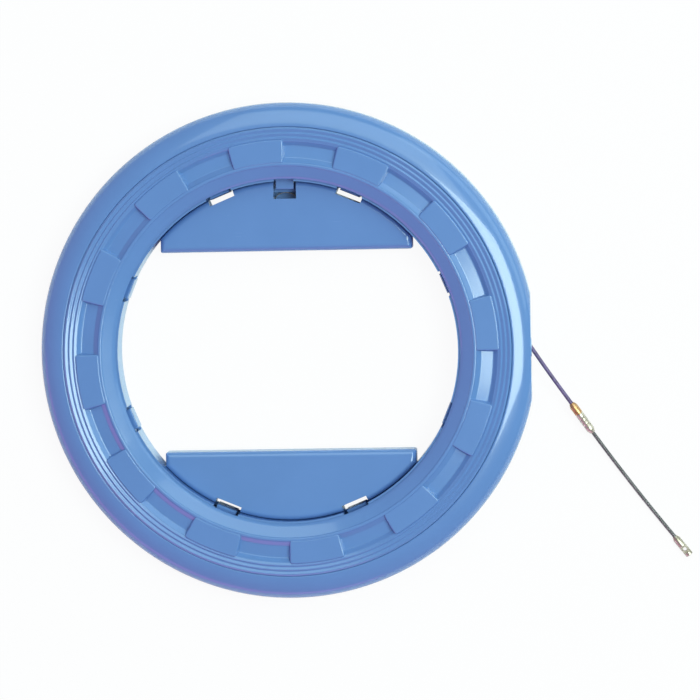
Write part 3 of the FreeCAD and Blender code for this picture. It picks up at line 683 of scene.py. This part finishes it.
def moulded_skin():
    """Moulded plastic: faint clouding of the colour, uneven gloss, fine grain and hairline scuffs."""
    tree, given = skin_tree("moulded_skin", Grain="Float")
    where = object_place(tree)
    cloud = noise(tree, where, 34.0, 3.0, 0.6)
    flow = noise(tree, where, 9.0, 1.0, 0.5, 0.6)
    grain = noise(tree, where, 2400.0, 1.0)
    peel = noise(tree, where, 420.0, 2.0)
    stretched = out(tree, "ShaderNodeMapping", {"Vector": where, "Rotation": (0.3, 0.2, 0.6),
                                                "Scale": (1.0, 26.0, 1.0)})
    scuff = ramp(tree, noise(tree, stretched, 70.0, 3.0, 0.7, 0.4), 0.0, 1.0, 0.66, 0.80)
    uneven = maths(tree, "ADD", maths(tree, "MULTIPLY", cloud, 0.5), maths(tree, "MULTIPLY", flow, 0.5))
    tinted = out(tree, "ShaderNodeVectorMath",
                 {0: given["Colour"], "Scale": ramp(tree, uneven, 0.97, 1.03, 0.3, 0.7)}, operation="SCALE")
    colour = mix(tree, maths(tree, "MULTIPLY", scuff, 0.04), tinted, (0.42, 0.56, 0.80, 1.0))
    gloss = ramp(tree, cloud, 0.22, 0.27, 0.3, 0.7)
    gloss = maths(tree, "ADD", gloss, maths(tree, "MULTIPLY", scuff, 0.05))
    height = maths(tree, "ADD", maths(tree, "MULTIPLY", grain, given["Grain"]),
                   maths(tree, "MULTIPLY", peel, 0.5))
    height = maths(tree, "SUBTRACT", height, maths(tree, "MULTIPLY", scuff, 0.15))
    return close_tree(tree, colour, gloss, height)


def moulded_plastic(name, colour, grain=0.35, bump=0.16):
    """Glossy moulded plastic."""
    made, tree, shader = new_material(name)
    skin = add(tree, "ShaderNodeGroup", {"Colour": (*colour, 1.0), "Grain": grain},
               node_tree=tree_of(moulded_skin)).outputs
    put_on(tree, shader, skin["Colour"], skin["Roughness"], skin["Height"], bump, 0.05 * MM)
    shader.inputs["Coat Weight"].default_value = 1.0
    shader.inputs["Coat Roughness"].default_value = 0.07
    return made


def metal_skin():
    """Turned or drawn metal: fine lines across one axis of the vector, with tarnish in patches."""
    tree, given = skin_tree("metal_skin", Tarnished="Color", Tarnish="Float", Vector="Vector")
    lines = noise(tree, given["Vector"], 900.0, 2.0, 0.6)
    patches = noise(tree, object_place(tree), 320.0, 3.0, 0.65)
    stain = maths(tree, "MULTIPLY", ramp(tree, patches, 0.0, 1.0, 0.38, 0.66), given["Tarnish"])
    colour = mix(tree, stain, given["Colour"], given["Tarnished"])
    rough = ramp(tree, lines, 0.16, 0.34, 0.3, 0.7)
    rough = maths(tree, "ADD", rough, maths(tree, "MULTIPLY", stain, 0.16))
    return close_tree(tree, colour, rough, lines)


def drawn_metal(name, colour, tarnished, tarnish=0.5, turn=0.0, stretch=(18.0, 1.0, 1.0), metallic=1.0):
    """Metal with fine lines. Turn is the angle of the piece's own axis about Z."""
    made, tree, shader = new_material(name)
    along = out(tree, "ShaderNodeMapping", {"Vector": object_place(tree), "Rotation": (0.0, 0.0, -turn)})
    along = out(tree, "ShaderNodeMapping", {"Vector": along, "Scale": stretch})
    skin = add(tree, "ShaderNodeGroup", {"Colour": (*colour, 1.0), "Tarnished": (*tarnished, 1.0),
                                         "Tarnish": tarnish, "Vector": along},
               node_tree=tree_of(metal_skin)).outputs
    put_on(tree, shader, skin["Colour"], skin["Roughness"], skin["Height"], 0.25, 0.03 * MM)
    shader.inputs["Metallic"].default_value = metallic
    return made


def mottled_tape(name, colour):
    """Nylon tape, mottled dark and light."""
    made, tree, shader = new_material(name)
    where = object_place(tree)
    blotch = noise(tree, where, 330.0, 3.0, 0.7, 0.8)
    fine = noise(tree, where, 1500.0, 2.0)
    mottled = mix(tree, ramp(tree, blotch, 0.0, 1.0, 0.38, 0.62), (*[c * 0.5 for c in colour], 1.0),
                  (*colour, 1.0))
    put_on(tree, shader, mottled, ramp(tree, blotch, 0.28, 0.46), fine, 0.2, 0.04 * MM)
    return made


def colours():
    return bpy.context.scene.reel_colours


def case_plastic():
    return finish_of("case_blue", moulded_plastic, colours().case_blue)


def ring_plastic():
    return finish_of("ring_blue", moulded_plastic, colours().case_blue)


def tape_nylon():
    return finish_of("mottled_violet_nylon", mottled_tape, colours().tape_violet)


def steel_finish():
    steel = colours().steel
    return finish_of("wound_steel", drawn_metal, steel, [c * 0.6 for c in steel], 0.6,
                     stretch=(1.0, 1.0, 1.0), metallic=0.5)


def screw_finish():
    return finish_of("bright_zinc", drawn_metal, (0.62, 0.63, 0.66), (0.42, 0.42, 0.44),
                     stretch=(1.0, 1.0, 9.0))


# Winding ring

def ridge(outer, inner, low, high, steps=10):
    """Points of a rounded ridge, from after its outer valley up to its inner one."""
    points = []
    for k in range(1, steps + 1):
        t = k / steps
        turn = 0.5 * t / RIDGE_LEAN if t < RIDGE_LEAN else 1 - 0.5 * (1 - t) / (1 - RIDGE_LEAN)
        points.append((outer + (inner - outer) * t, low + (high - low) * (1 - math.cos(math.tau * turn)) / 2))
    return points


def ring_outline():
    """Outline of the winding ring, from the barrel's rear end over the ring's face to the barrel's bore."""
    bead_top = RING_TOP - BEAD_DROP
    bead_foot = bead_top - BEAD_H
    crest = bead_foot + RIDGE_H / 2
    valley = bead_foot - RIDGE_H / 2
    finger_out = RING_R - RIDGE_COUNT * RIDGE_PITCH
    finger_in = finger_out - FINGER_W
    bead_in = finger_in - BEAD_W
    lip = bead_in - SLOPE_W
    pocket_in = bead_foot - POCKET_DROP
    pocket_out = pocket_in - POCKET_FALL
    under = pocket_out - RING_T
    bore = lip + BARREL_INSET
    barrel_out = bore + BARREL_T
    catch_z = BARREL_Z + CATCH_H
    shelf = RING_R - SHELF_W
    step = under + SHELF_STEP
    edge = RING_R + SEAM_LIP
    edge_z = valley - 0.1
    points = [
        (bore, BARREL_Z, 0.2), (barrel_out, BARREL_Z, 0.2), (barrel_out, under, 0.5),
        (shelf, under, 0.3), (shelf, step, 0.2), (RING_R, step, 0.2),
        (RING_R, edge_z - SEAM_LIP_H - SEAM_LIP), (edge, edge_z - SEAM_LIP_H), (edge, edge_z),
        (RING_R, valley),
    ]
    for i in range(RIDGE_COUNT):
        outer = RING_R - i * RIDGE_PITCH
        points += ridge(outer, outer - RIDGE_PITCH, valley, crest)
    points += [
        (finger_out - POCKET_WALL_W, pocket_out, 1.2), (finger_in + POCKET_WALL_W, pocket_in, 1.2),
        (finger_in, bead_foot, 0.3), (finger_in - BEAD_W / 4, bead_top, 1.0),
        (bead_in + BEAD_W / 4, bead_top, 1.0), (bead_in, bead_foot, 0.6),
    ]
    knee = (lip + LIP_ROUND, bead_foot - drop(SLOPE_W - LIP_ROUND, SLOPE, SLOPE))
    lip_z = knee[1] - drop(LIP_ROUND, SLOPE, LIP_SLOPE)
    points += [knee] + arc(knee, (lip, lip_z), bulge(LIP_ROUND, SLOPE, LIP_SLOPE), 8)
    points += [(lip, under), (bore + CATCH_DEPTH, under, 0.2), (bore + CATCH_DEPTH, catch_z, 0.1),
               (bore, catch_z, 0.2)]
    return filleted(points)


def rounded_loop(half_w, half_h, radius):
    """Points of a rectangle with rounded corners, the same number for every size."""
    radius = max(0.0, min(radius, half_w, half_h))
    corners = []
    for quarter, (side_x, side_y) in enumerate(((1, -1), (1, 1), (-1, 1), (-1, -1))):
        turns = [math.radians(90 * (quarter - 1 + k / PAD_CORNER_STEPS)) for k in range(PAD_CORNER_STEPS + 1)]
        corners.append([(side_x * (half_w - radius) + radius * math.cos(a),
                         side_y * (half_h - radius) + radius * math.sin(a)) for a in turns])
    loop = []
    for quarter, corner in enumerate(corners):
        (ax, ay), (bx, by) = corner[-1], corners[(quarter + 1) % 4][0]
        steps = PAD_SIDE_STEPS[quarter % 2]
        loop += corner
        loop += [(ax + (bx - ax) * k / steps, ay + (by - ay) * k / steps) for k in range(1, steps)]
    return loop


def finger_pad(name):
    """One raised pad, half a pitch long, with rounded corners and edges and with flared ends."""
    inner = RING_R - RIDGE_COUNT * RIDGE_PITCH - FINGER_W - PAD_OVERLAP
    outer = inner + FINGER_W + 2 * PAD_OVERLAP
    middle, half_r = (inner + outer) / 2, (outer - inner) / 2
    half_angle = math.radians(90.0 / PAD_COUNT)
    half_s = half_angle * middle
    loops = [(0.0, None)]
    for a in (0, 22, 45, 68, 90):
        loops.append((PAD_EDGE * (1 - math.cos(math.radians(a))), PAD_EDGE * (1 - math.sin(math.radians(a)))))
    loops += [(inset, 0.0) for inset in (1.4, 2.6, 4.2, 6.0, half_r)]
    verts = []
    for inset, sink in loops:
        at_foot = sink is None
        half_h = half_s - inset + (PAD_FLARE if at_foot else 0.0)
        for x, y in rounded_loop(half_r - inset, half_h, PAD_CORNER - inset):
            r = middle + x
            a = half_angle * (1 + y / half_s)
            z = RING_TOP - (PAD_H if at_foot else PAD_FALL * (r - inner) / (outer - inner) + sink)
            verts.append((r * math.cos(a) * MM, r * math.sin(a) * MM, z * MM))
    size = len(verts) // len(loops)
    faces = bands(len(loops), size) + [tuple(reversed(range(size)))]
    return smooth_by_angle(closed_solid(name, verts, faces), 40)


class REEL_OT_winding_ring(bpy.types.Operator):
    """Turn the winding ring with its bead and ridges, and set its finger pads round it"""
    bl_idname = "tape_reel.winding_ring"
    bl_label = "Winding ring"

    def execute(self, context):
        body = turned("ring_body", ring_outline(), context.scene.reel_sizes.segments, ring_plastic())
        pads = ring_of("ring_pads", finger_pad("pad"), PAD_COUNT, PAD_PHASE, ring_plastic())
        ring = joined("ring_face", [body, pads], ring_plastic())
        finish_piece(ring, "ring", "winding_ring")
        return {"FINISHED"}


# Case

def rim_outline():
    """Outline of the front rim's skin: parting line, wall, shoulder, band, and the side of the shelf."""
    seam = RING_R + SEAM
    band_in = seam + RIM_ROUND
    band_out = seam + BAND_W
    flat, tilted, upright = BAND_SLOPES
    band_z = RING_TOP - BEAD_DROP - BEAD_H - RIDGE_H
    crest_z = band_z - drop(RIM_ROUND, flat, flat)
    shoulder_z = band_z - drop(BAND_W, flat, tilted)
    wall_z = shoulder_z - drop(SHOULDER_W, tilted, upright)
    shelf = seam - SHELF_W
    deep, high = PARTING_EDGE
    points = [(shelf, PARTING_Z), (CASE_R - deep, PARTING_Z), (CASE_R, PARTING_Z + high), (CASE_R, wall_z)]
    points += arc(points[-1], (band_out, shoulder_z), bulge(SHOULDER_W, tilted, upright), 12)
    points += arc(points[-1], (band_in, crest_z), bulge(BAND_W - RIM_ROUND, flat, tilted), 22)
    points += arc(points[-1], (seam, crest_z - RIM_DROP), RIM_BULGE, 6)
    return points + [(seam, SHELF_Z), (shelf, SHELF_Z)]


class REEL_OT_front_rim(bpy.types.Operator):
    """Turn the smooth outer band of the case and trim it to the flat where the tape leaves"""
    bl_idname = "tape_reel.front_rim"
    bl_label = "Front rim"

    def execute(self, context):
        rim = turned("rim_band", rim_outline(), context.scene.reel_sizes.segments, case_plastic())
        with opened(rim) as shape:
            cut = bmesh.ops.bisect_plane(
                shape, geom=shape.verts[:] + shape.edges[:] + shape.faces[:],
                plane_co=(FLAT_X, 0, 0), plane_no=(1, 0, 0), clear_outer=True)
            edges = [e for e in cut["geom_cut"] if isinstance(e, bmesh.types.BMEdge)]
            flat = bmesh.ops.contextual_create(shape, geom=edges)
            for item in flat["faces"] + edges:
                item.smooth = False
        finish_piece(rim, "case", "front_rim")
        return {"FINISHED"}


class REEL_OT_rear_case(bpy.types.Operator):
    """Round the edges of the back shell with its inner wall, snap tongues and grip backs"""
    bl_idname = "tape_reel.rear_case"
    bl_label = "Rear case"

    def execute(self, context):
        edge_round = context.scene.reel_sizes.edge_round / 3
        dressed("rear_shell", "rear_case", "case", case_plastic(), edge_round)
        return {"FINISHED"}


class REEL_OT_grips(bpy.types.Operator):
    """Round the edges of the two D-shaped grips"""
    bl_idname = "tape_reel.grips"
    bl_label = "Grips"

    def execute(self, context):
        edge_round = context.scene.reel_sizes.edge_round / 2
        for side in ("upper", "lower"):
            dressed(side + "_grip", "grip_" + side, "case", case_plastic(), edge_round)
        return {"FINISHED"}


class REEL_OT_brake(bpy.types.Operator):
    """Brake tab in its well, and the leaf spring behind it"""
    bl_idname = "tape_reel.brake"
    bl_label = "Brake"

    def execute(self, context):
        finish = finish_of("tab_blue", moulded_plastic, colours().case_blue, 0.8)
        dressed("brake_tab", "brake_thumb", "brake", finish,
                context.scene.reel_sizes.edge_round)
        leaf = dressed("brake_spring", "brake_leaf", "case", steel_finish())
        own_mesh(leaf)
        return {"FINISHED"}


class REEL_OT_bushing(bpy.types.Operator):
    """Guide bushing in the mouth"""
    bl_idname = "tape_reel.bushing"
    bl_label = "Mouth bushing"

    def execute(self, context):
        finish = finish_of("bushing_pale_blue", moulded_plastic, (0.34, 0.51, 0.75), 0.2, 0.1)
        dressed("mouth_bushing", "guide_bushing", "case", finish, 0.2 * MM)
        return {"FINISHED"}


# Screws and bars

def in_metres(outline):
    return [(r * MM, z * MM) for r, z in outline]


def lathe(name, outline, steps):
    """Solid turned about its own Z axis from (r, z) points in millimetres, first and last on the axis."""
    (_, low), *inner, (_, high) = in_metres(outline)
    turns = [math.tau * k / steps for k in range(steps)]
    verts = [(r * math.cos(a), r * math.sin(a), z) for r, z in inner for a in turns]
    last = len(verts) - steps
    low_pole, high_pole = len(verts), len(verts) + 1
    faces = bands(len(inner), steps)
    for k in range(steps):
        n = (k + 1) % steps
        faces += [(low_pole, n, k), (high_pole, last + k, last + n)]
    return closed_solid(name, verts + [(0, 0, low), (0, 0, high)], faces)


def cross_recess(name, head_r, head_z):
    """Tapered cross that is cut from a screw's head, point upwards along +Z."""
    reach = head_r * 0.55
    depth = head_r * 0.45
    shape = bmesh.new()
    for turn in (0, 90):
        for v in bmesh.ops.create_cube(shape, size=2.0)["verts"]:
            long, wide, z = (1.0, 0.2, -0.2) if v.co.z < 0 else (0.35, 0.12, depth)
            arm = Vector((v.co.x * reach * long, v.co.y * reach * wide, head_z + z)) * MM
            v.co = Matrix.Rotation(math.radians(turn), 3, "Z") @ arm
    return object_from(name, shape)


def screw(name, outline):
    """Screw turned from its outline, whose first points are its head, with a cross recess in the head."""
    body = lathe(name, outline, 28)
    cutter = cross_recess(name + "_cross", max(r for r, _ in outline), outline[0][1])
    cut = body.modifiers.new("cross", "BOOLEAN")
    cut.object = cutter
    cut.solver = "EXACT"
    cut.use_self = True
    settle(body)
    discard(cutter)
    return smooth_by_angle(body, 35)


def pan_screw(name):
    """Pan-head screw driven from the back, at the origin."""
    head_r, head_h, shank_r, shank_l = 2.7, 1.7, 1.45, 10.0
    seat = 2.0
    outline = [(0, seat - head_h)]
    for a in (90, 75, 60, 45, 25, 0):
        t = math.radians(a)
        outline.append((head_r * (0.45 + 0.55 * math.cos(t)), seat - head_h * (0.45 + 0.55 * math.sin(t))))
    end = seat + shank_l
    return screw(name, outline + [(head_r, seat), (shank_r, seat), (shank_r, end - 0.8),
                                  (shank_r * 0.4, end), (0, end)])


def flush_screw(name, base):
    """Countersunk screw with its flat head at a height, at the origin."""
    head_r, head_h, shank_r = 2.0, 1.0, 1.0
    end = base + 6.0
    return screw(name, [(0, base), (head_r - 0.1, base), (head_r, base + 0.1), (shank_r, base + head_h),
                        (shank_r, end - 0.5), (shank_r * 0.5, end), (0, end)])


def ring_of_screws(name, piece, ring, count, first):
    piece.data.transform(Matrix.Translation((ring * MM, 0, 0)))
    return ring_of(name, piece, count, first, screw_finish())


class REEL_OT_screws(bpy.types.Operator):
    """Cross-head screws in the back of the case, in the grips and in the drum's flange"""
    bl_idname = "tape_reel.screws"
    bl_label = "Screws"

    def execute(self, context):
        case = ring_of_screws("screws_case", pan_screw("case_screw"), CASE_SCREW_RING, CASE_SCREWS,
                              CASE_SCREW_PHASE)
        finish_piece(case, "case", "case_screws")
        pairs = [ring_of_screws("pair", pan_screw("grip_screw"), GRIP_SCREW_RING, 2, 90 + turn)
                 for turn in GRIP_SCREW_ANGLES]
        grips = joined("screws_grip", pairs, screw_finish())
        finish_piece(grips, "case", "grip_screws")
        flange = flush_screw("flange_screw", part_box("flange_screws")[0].z / MM)
        flange = ring_of_screws("screws_flange", flange, FLANGE_SCREW_RING, FLANGE_SCREWS, 0)
        finish_piece(flange, "ring", "flange_screws")
        dressed("anchor_screw", "screw_anchor", "ring", screw_finish(), smooth_below=30)
        return {"FINISHED"}


# Drum

class REEL_OT_drum(bpy.types.Operator):
    """Flange, wound tape, its clamp plate and the last run of tape to the mouth"""
    bl_idname = "tape_reel.drum"
    bl_label = "Drum and coil"

    def execute(self, context):
        dressed("drum_flange", "flange_disc", "ring", ring_plastic())
        dressed("tape_anchor", "anchor_plate", "ring", steel_finish(), 0.15 * MM)
        sizes = context.scene.reel_sizes
        low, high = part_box("tape_coil")
        rise = TAPE_D * math.sin(math.radians(60))  # from one layer to the next, in the gaps of the last
        hoops = []
        for layer in range(sizes.coil_layers):
            r = high.x - TAPE_D / 2 - (sizes.coil_layers - 1 - layer) * rise
            for row in range(sizes.coil_rows - layer % 2):
                hoops.append((r, 0, low.z + TAPE_D * (0.5 + layer % 2 / 2 + row)))
        coil = mesh_object("tape_wound", hoops)
        apply_tree(coil, coil_of_hoops, thickness=TAPE_D * 0.99, material=tape_nylon())
        finish_piece(coil, "ring", "tape_coil")
        dressed("tape_lead", "tape_to_mouth", "case", tape_nylon(), smooth_below=60)
        return {"FINISHED"}


# Free end

def placed(point):
    """Place of a route's point."""
    return Vector(point) + Vector((FLAT_X, 0, 0))


def route_curve(name, route, thickness=0.0):
    """Smooth line with a route's points as its control points."""
    curve = bpy.data.curves.new(name, "CURVE")
    curve.dimensions = "3D"
    curve.resolution_u = 24
    spline = curve.splines.new("NURBS")
    spline.points.add(len(route) - 1)
    for point, place in zip(spline.points, route):
        point.co = (*placed(place), 1)
    spline.order_u = 3
    spline.use_endpoint_u = True
    curve.bevel_depth = thickness / 2
    curve.bevel_resolution = 6
    curve.use_fill_caps = True
    return link(bpy.data.objects.new(name, curve))


def route_line(name, route):
    """Points and edges along the smooth line, as a mesh object."""
    line = route_curve(name + "_line", route)
    graph = bpy.context.evaluated_depsgraph_get()
    mesh = bpy.data.meshes.new_from_object(line.evaluated_get(graph))
    discard(line)
    return link(bpy.data.objects.new(name, mesh))


def lying_bar(name, outline, start, way, finish):
    """Bar turned about its own line from (r, z) points in millimetres, and laid from start along way."""
    bar = smooth_by_angle(lathe(name, outline, 36), 34)
    turn = way.to_track_quat("Z", "Y").to_matrix().to_4x4()
    bar.data.transform(Matrix.Translation(start) @ turn)
    bar.data.materials.append(finish)
    return bar


def brass_outline():
    """Sleeve on the tape: a cone, a plain barrel and a chamfered end."""
    r, end_r = SLEEVE_R, SLEEVE_R - SLEEVE_EDGE
    return [(0, 0), (1.45, 0), (1.65, 0.1), (r - 0.08, 2.4), (r, 2.9), (r, 8.6), (end_r, 8.9),
            (end_r, BRASS_L), (0, BRASS_L)]


def nickel_outline():
    """Sleeve on the leader: a chamfered end, three grooves and a cone."""
    r, root = SLEEVE_R, SLEEVE_R - GROOVE_DEPTH
    outline = [(0, 0), (r - SLEEVE_EDGE, 0), (r, SLEEVE_EDGE), (r, 2.0)]
    for at in GROOVES:
        outline += [(r, at - GROOVE_W / 2), (root, at - 0.2), (root, at + 0.2), (r, at + GROOVE_W / 2)]
    return outline + [(r, 13.6), (r - 0.12, 14.2), (1.75, 16.1), (1.6, NICKEL_L), (0, NICKEL_L)]


class REEL_OT_couplings(bpy.types.Operator):
    """Brass sleeve on the tape's end and dull nickel sleeve on the leader"""
    bl_idname = "tape_reel.couplings"
    bl_label = "Coupling sleeves"

    def execute(self, context):
        way = (Vector(TAPE_ROUTE[-1]) - Vector(TAPE_ROUTE[-2])).normalized()
        turn = math.atan2(way.y, way.x)
        brass = finish_of("turned_brass", drawn_metal, colours().brass, (0.42, 0.20, 0.07), 0.85, turn,
                          metallic=0.8)
        nickel = finish_of("dull_nickel", drawn_metal, colours().nickel, (0.42, 0.34, 0.26), 0.5, turn,
                           metallic=0.7)
        start = placed(TAPE_ROUTE[-1])
        sleeve = lying_bar("sleeve_tape", brass_outline(), start, way, brass)
        finish_piece(sleeve, "case", "tape_sleeve")
        sleeve = lying_bar("sleeve_leader", nickel_outline(), start + way * BRASS_L * MM, way, nickel)
        finish_piece(sleeve, "case", "leader_sleeve")
        return {"FINISHED"}


class REEL_OT_free_tape(bpy.types.Operator):
    """Free stretch of tape from the mouth to its sleeve"""
    bl_idname = "tape_reel.free_tape"
    bl_label = "Free tape"

    def execute(self, context):
        tape = route_curve("tape_free", TAPE_ROUTE, TAPE_D)
        tape.data.materials.append(tape_nylon())
        finish_piece(tape, "case", "free_tape")
        return {"FINISHED"}


class REEL_OT_leader(bpy.types.Operator):
    """Wind the leader's wire round its core and lay it on the floor"""
    bl_idname = "tape_reel.leader"
    bl_label = "Leader"

    def execute(self, context):
        sizes = context.scene.reel_sizes
        wire = route_line("leader_wound", LEADER_ROUTE)
        apply_tree(wire, wound_wire, radius=LEADER_D / 2, wire=sizes.wire, pitch=sizes.wire_pitch,
                   material=steel_finish())
        finish_piece(wire, "case", "leader_spring")
        core = route_curve("leader_heart", LEADER_ROUTE, LEADER_D - 1.8 * sizes.wire)
        core.data.materials.append(steel_finish())
        finish_piece(core, "case", "leader_core")
        return {"FINISHED"}


class REEL_OT_pull_tip(bpy.types.Operator):
    """Pulling tip with its cross eye, flats and end socket"""
    bl_idname = "tape_reel.pull_tip"
    bl_label = "Pulling tip"

    def execute(self, context):
        way = Vector(LEADER_ROUTE[-1]) - Vector(LEADER_ROUTE[-2])
        brass = finish_of("tarnished_brass", drawn_metal, [c * 0.9 for c in colours().nickel],
                          (0.23, 0.19, 0.12), 0.7, math.atan2(way.y, way.x), metallic=0.7)
        dressed("end_tip", "tip_pulling", "case", brass, 0.12 * MM, 32)
        return {"FINISHED"}


# Stage

def seen_as(tree, lit, seen, *rays):
    """Shader that is lit for the light on other things, and shows another one to some rays."""
    path = add(tree, "ShaderNodeLightPath").outputs
    ray = path[rays[0]]
    for other in rays[1:]:
        ray = maths(tree, "MAXIMUM", ray, path[other])
    return out(tree, "ShaderNodeMixShader", {0: ray, 1: lit, 2: seen})


def lean_arm(lean, side, reach):
    """Offset that leans from straight above towards a side, both in radians."""
    return Vector((math.sin(lean) * math.cos(side), math.sin(lean) * math.sin(side), math.cos(lean))) * reach


def soft_lamp(name, power, lean, side, width, height, colour):
    """Rectangular soft lamp far away from the reel, and aimed at its middle."""
    data = bpy.data.lights.new(name, "AREA")
    data.shape = "RECTANGLE"
    data.size = width
    data.size_y = height
    data.energy = power
    data.color = colour
    lamp = link(bpy.data.objects.new(name, data))
    lamp.location = lean_arm(math.radians(lean), math.radians(side), LAMP_REACH)
    lamp.rotation_euler = lamp.location.to_track_quat("Z", "Y").to_euler()


def pale_floor(colour):
    """Floor that is nearly white where it is looked at and keeps the reel's shadow."""
    reach, z = FLOOR_REACH, -FLOOR_GAP
    corners = [(-reach, -reach, z), (reach, -reach, z), (reach, reach, z), (-reach, reach, z)]
    floor = mesh_object("floor", corners, faces=[(0, 1, 2, 3)])
    made, tree, shader = new_material("pale_floor")
    shader.inputs["Base Color"].default_value = (*colour, 1.0)
    shader.inputs["Roughness"].default_value = 0.9
    glow = out(tree, "ShaderNodeEmission", {"Color": (1, 1, 1, 1), "Strength": 1.0})
    pale = out(tree, "ShaderNodeMixShader", {0: 0.93, 1: shader.outputs[0], 2: glow})
    surface = seen_as(tree, shader.outputs[0], pale, "Is Camera Ray", "Is Transmission Ray")
    tree.links.new(surface, tree.nodes["Material Output"].inputs["Surface"])
    floor.data.materials.append(made)
    return floor


def white_room(strength):
    """World that shows white to the camera and lights the reel from all round."""
    world = bpy.data.worlds.new("studio")
    world.use_nodes = True
    tree = world.node_tree
    room = tree.nodes["Background"]
    room.inputs["Strength"].default_value = strength
    way = add(tree, "ShaderNodeTexCoord").outputs["Generated"]
    side = add(tree, "ShaderNodeVectorMath", {0: way, 1: ROOM_WAY}, operation="DOT_PRODUCT").outputs["Value"]
    colour = mix(tree, ramp(tree, side, 0.0, 1.0, -0.6, 0.6), ROOM_LEFT, ROOM_RIGHT)
    tree.links.new(colour, room.inputs["Color"])
    white = out(tree, "ShaderNodeBackground", {"Color": (1, 1, 1, 1), "Strength": 1.0})
    surface = seen_as(tree, room.outputs[0], white, "Is Camera Ray")
    tree.links.new(surface, tree.nodes["World Output"].inputs["Surface"])
    return world


def overhead_camera(stage):
    """Camera nearly straight above, leaning by its tilt towards its side."""
    data = bpy.data.cameras.new("camera")
    data.sensor_width = SENSOR_W
    data.lens = SENSOR_W * stage.camera_distance / stage.view_width
    camera = link(bpy.data.objects.new("camera", data))
    arm = lean_arm(stage.camera_tilt, stage.camera_side, stage.camera_distance)
    camera.location = VIEW_MIDDLE + arm
    back = arm.normalized()
    right = Vector((0, 1, 0)).cross(back).normalized()
    level = Matrix((right, back.cross(right), back)).transposed()
    camera.rotation_euler = (level @ Matrix.Rotation(stage.camera_roll, 3, "Z")).to_euler()
    return camera


class REEL_OT_stage(bpy.types.Operator):
    """White floor and surroundings, soft lamps and the camera"""
    bl_idname = "tape_reel.stage"
    bl_label = "Stage"

    def execute(self, context):
        scene = context.scene
        pale_floor(colours().floor_white)
        scene.world = white_room(scene.reel_stage.world_strength)
        for name, lamp in LAMPS.items():
            soft_lamp(name, getattr(scene.reel_stage, name + "_power"), *lamp)
        scene.camera = overhead_camera(scene.reel_stage)
        scene.view_settings.view_transform = "Standard"
        return {"FINISHED"}


class REEL_PT_panel(bpy.types.Panel):
    """Sidebar panel with the sizes, the colours and the pieces."""
    bl_label = "Tape Reel"
    bl_idname = "REEL_PT_panel"
    bl_space_type = "VIEW_3D"
    bl_region_type = "UI"
    bl_category = "Tape Reel"

    def draw(self, context):
        scene = context.scene
        for group in (scene.reel_sizes, scene.reel_colours, scene.reel_stage):
            box = self.layout.box()
            for key in group.__annotations__:
                box.prop(group, key)
        for operator in OPERATORS:
            self.layout.operator(operator.bl_idname)


GROUPS = (ReelColours, ReelSizes, ReelStage)
OPERATORS = (
    REEL_OT_stage,
    REEL_OT_couplings,
    REEL_OT_free_tape,
    REEL_OT_pull_tip,
    REEL_OT_leader,
    REEL_OT_winding_ring,
    REEL_OT_front_rim,
    REEL_OT_rear_case,
    REEL_OT_grips,
    REEL_OT_brake,
    REEL_OT_bushing,
    REEL_OT_screws,
    REEL_OT_drum,
)


def register():
    for item in GROUPS + OPERATORS + (REEL_PT_panel,):
        bpy.utils.register_class(item)
    bpy.types.Scene.reel_colours = bpy.props.PointerProperty(type=ReelColours)
    bpy.types.Scene.reel_sizes = bpy.props.PointerProperty(type=ReelSizes)
    bpy.types.Scene.reel_stage = bpy.props.PointerProperty(type=ReelStage)


def unregister():
    for name in ("reel_colours", "reel_sizes", "reel_stage"):
        delattr(bpy.types.Scene, name)
    for item in reversed(GROUPS + OPERATORS + (REEL_PT_panel,)):
        bpy.utils.unregister_class(item)


def main():
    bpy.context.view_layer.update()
    register()
    for operator in OPERATORS:
        module, name = operator.bl_idname.split(".")
        getattr(getattr(bpy.ops, module), name)()


if __name__ == "__main__":
    main()
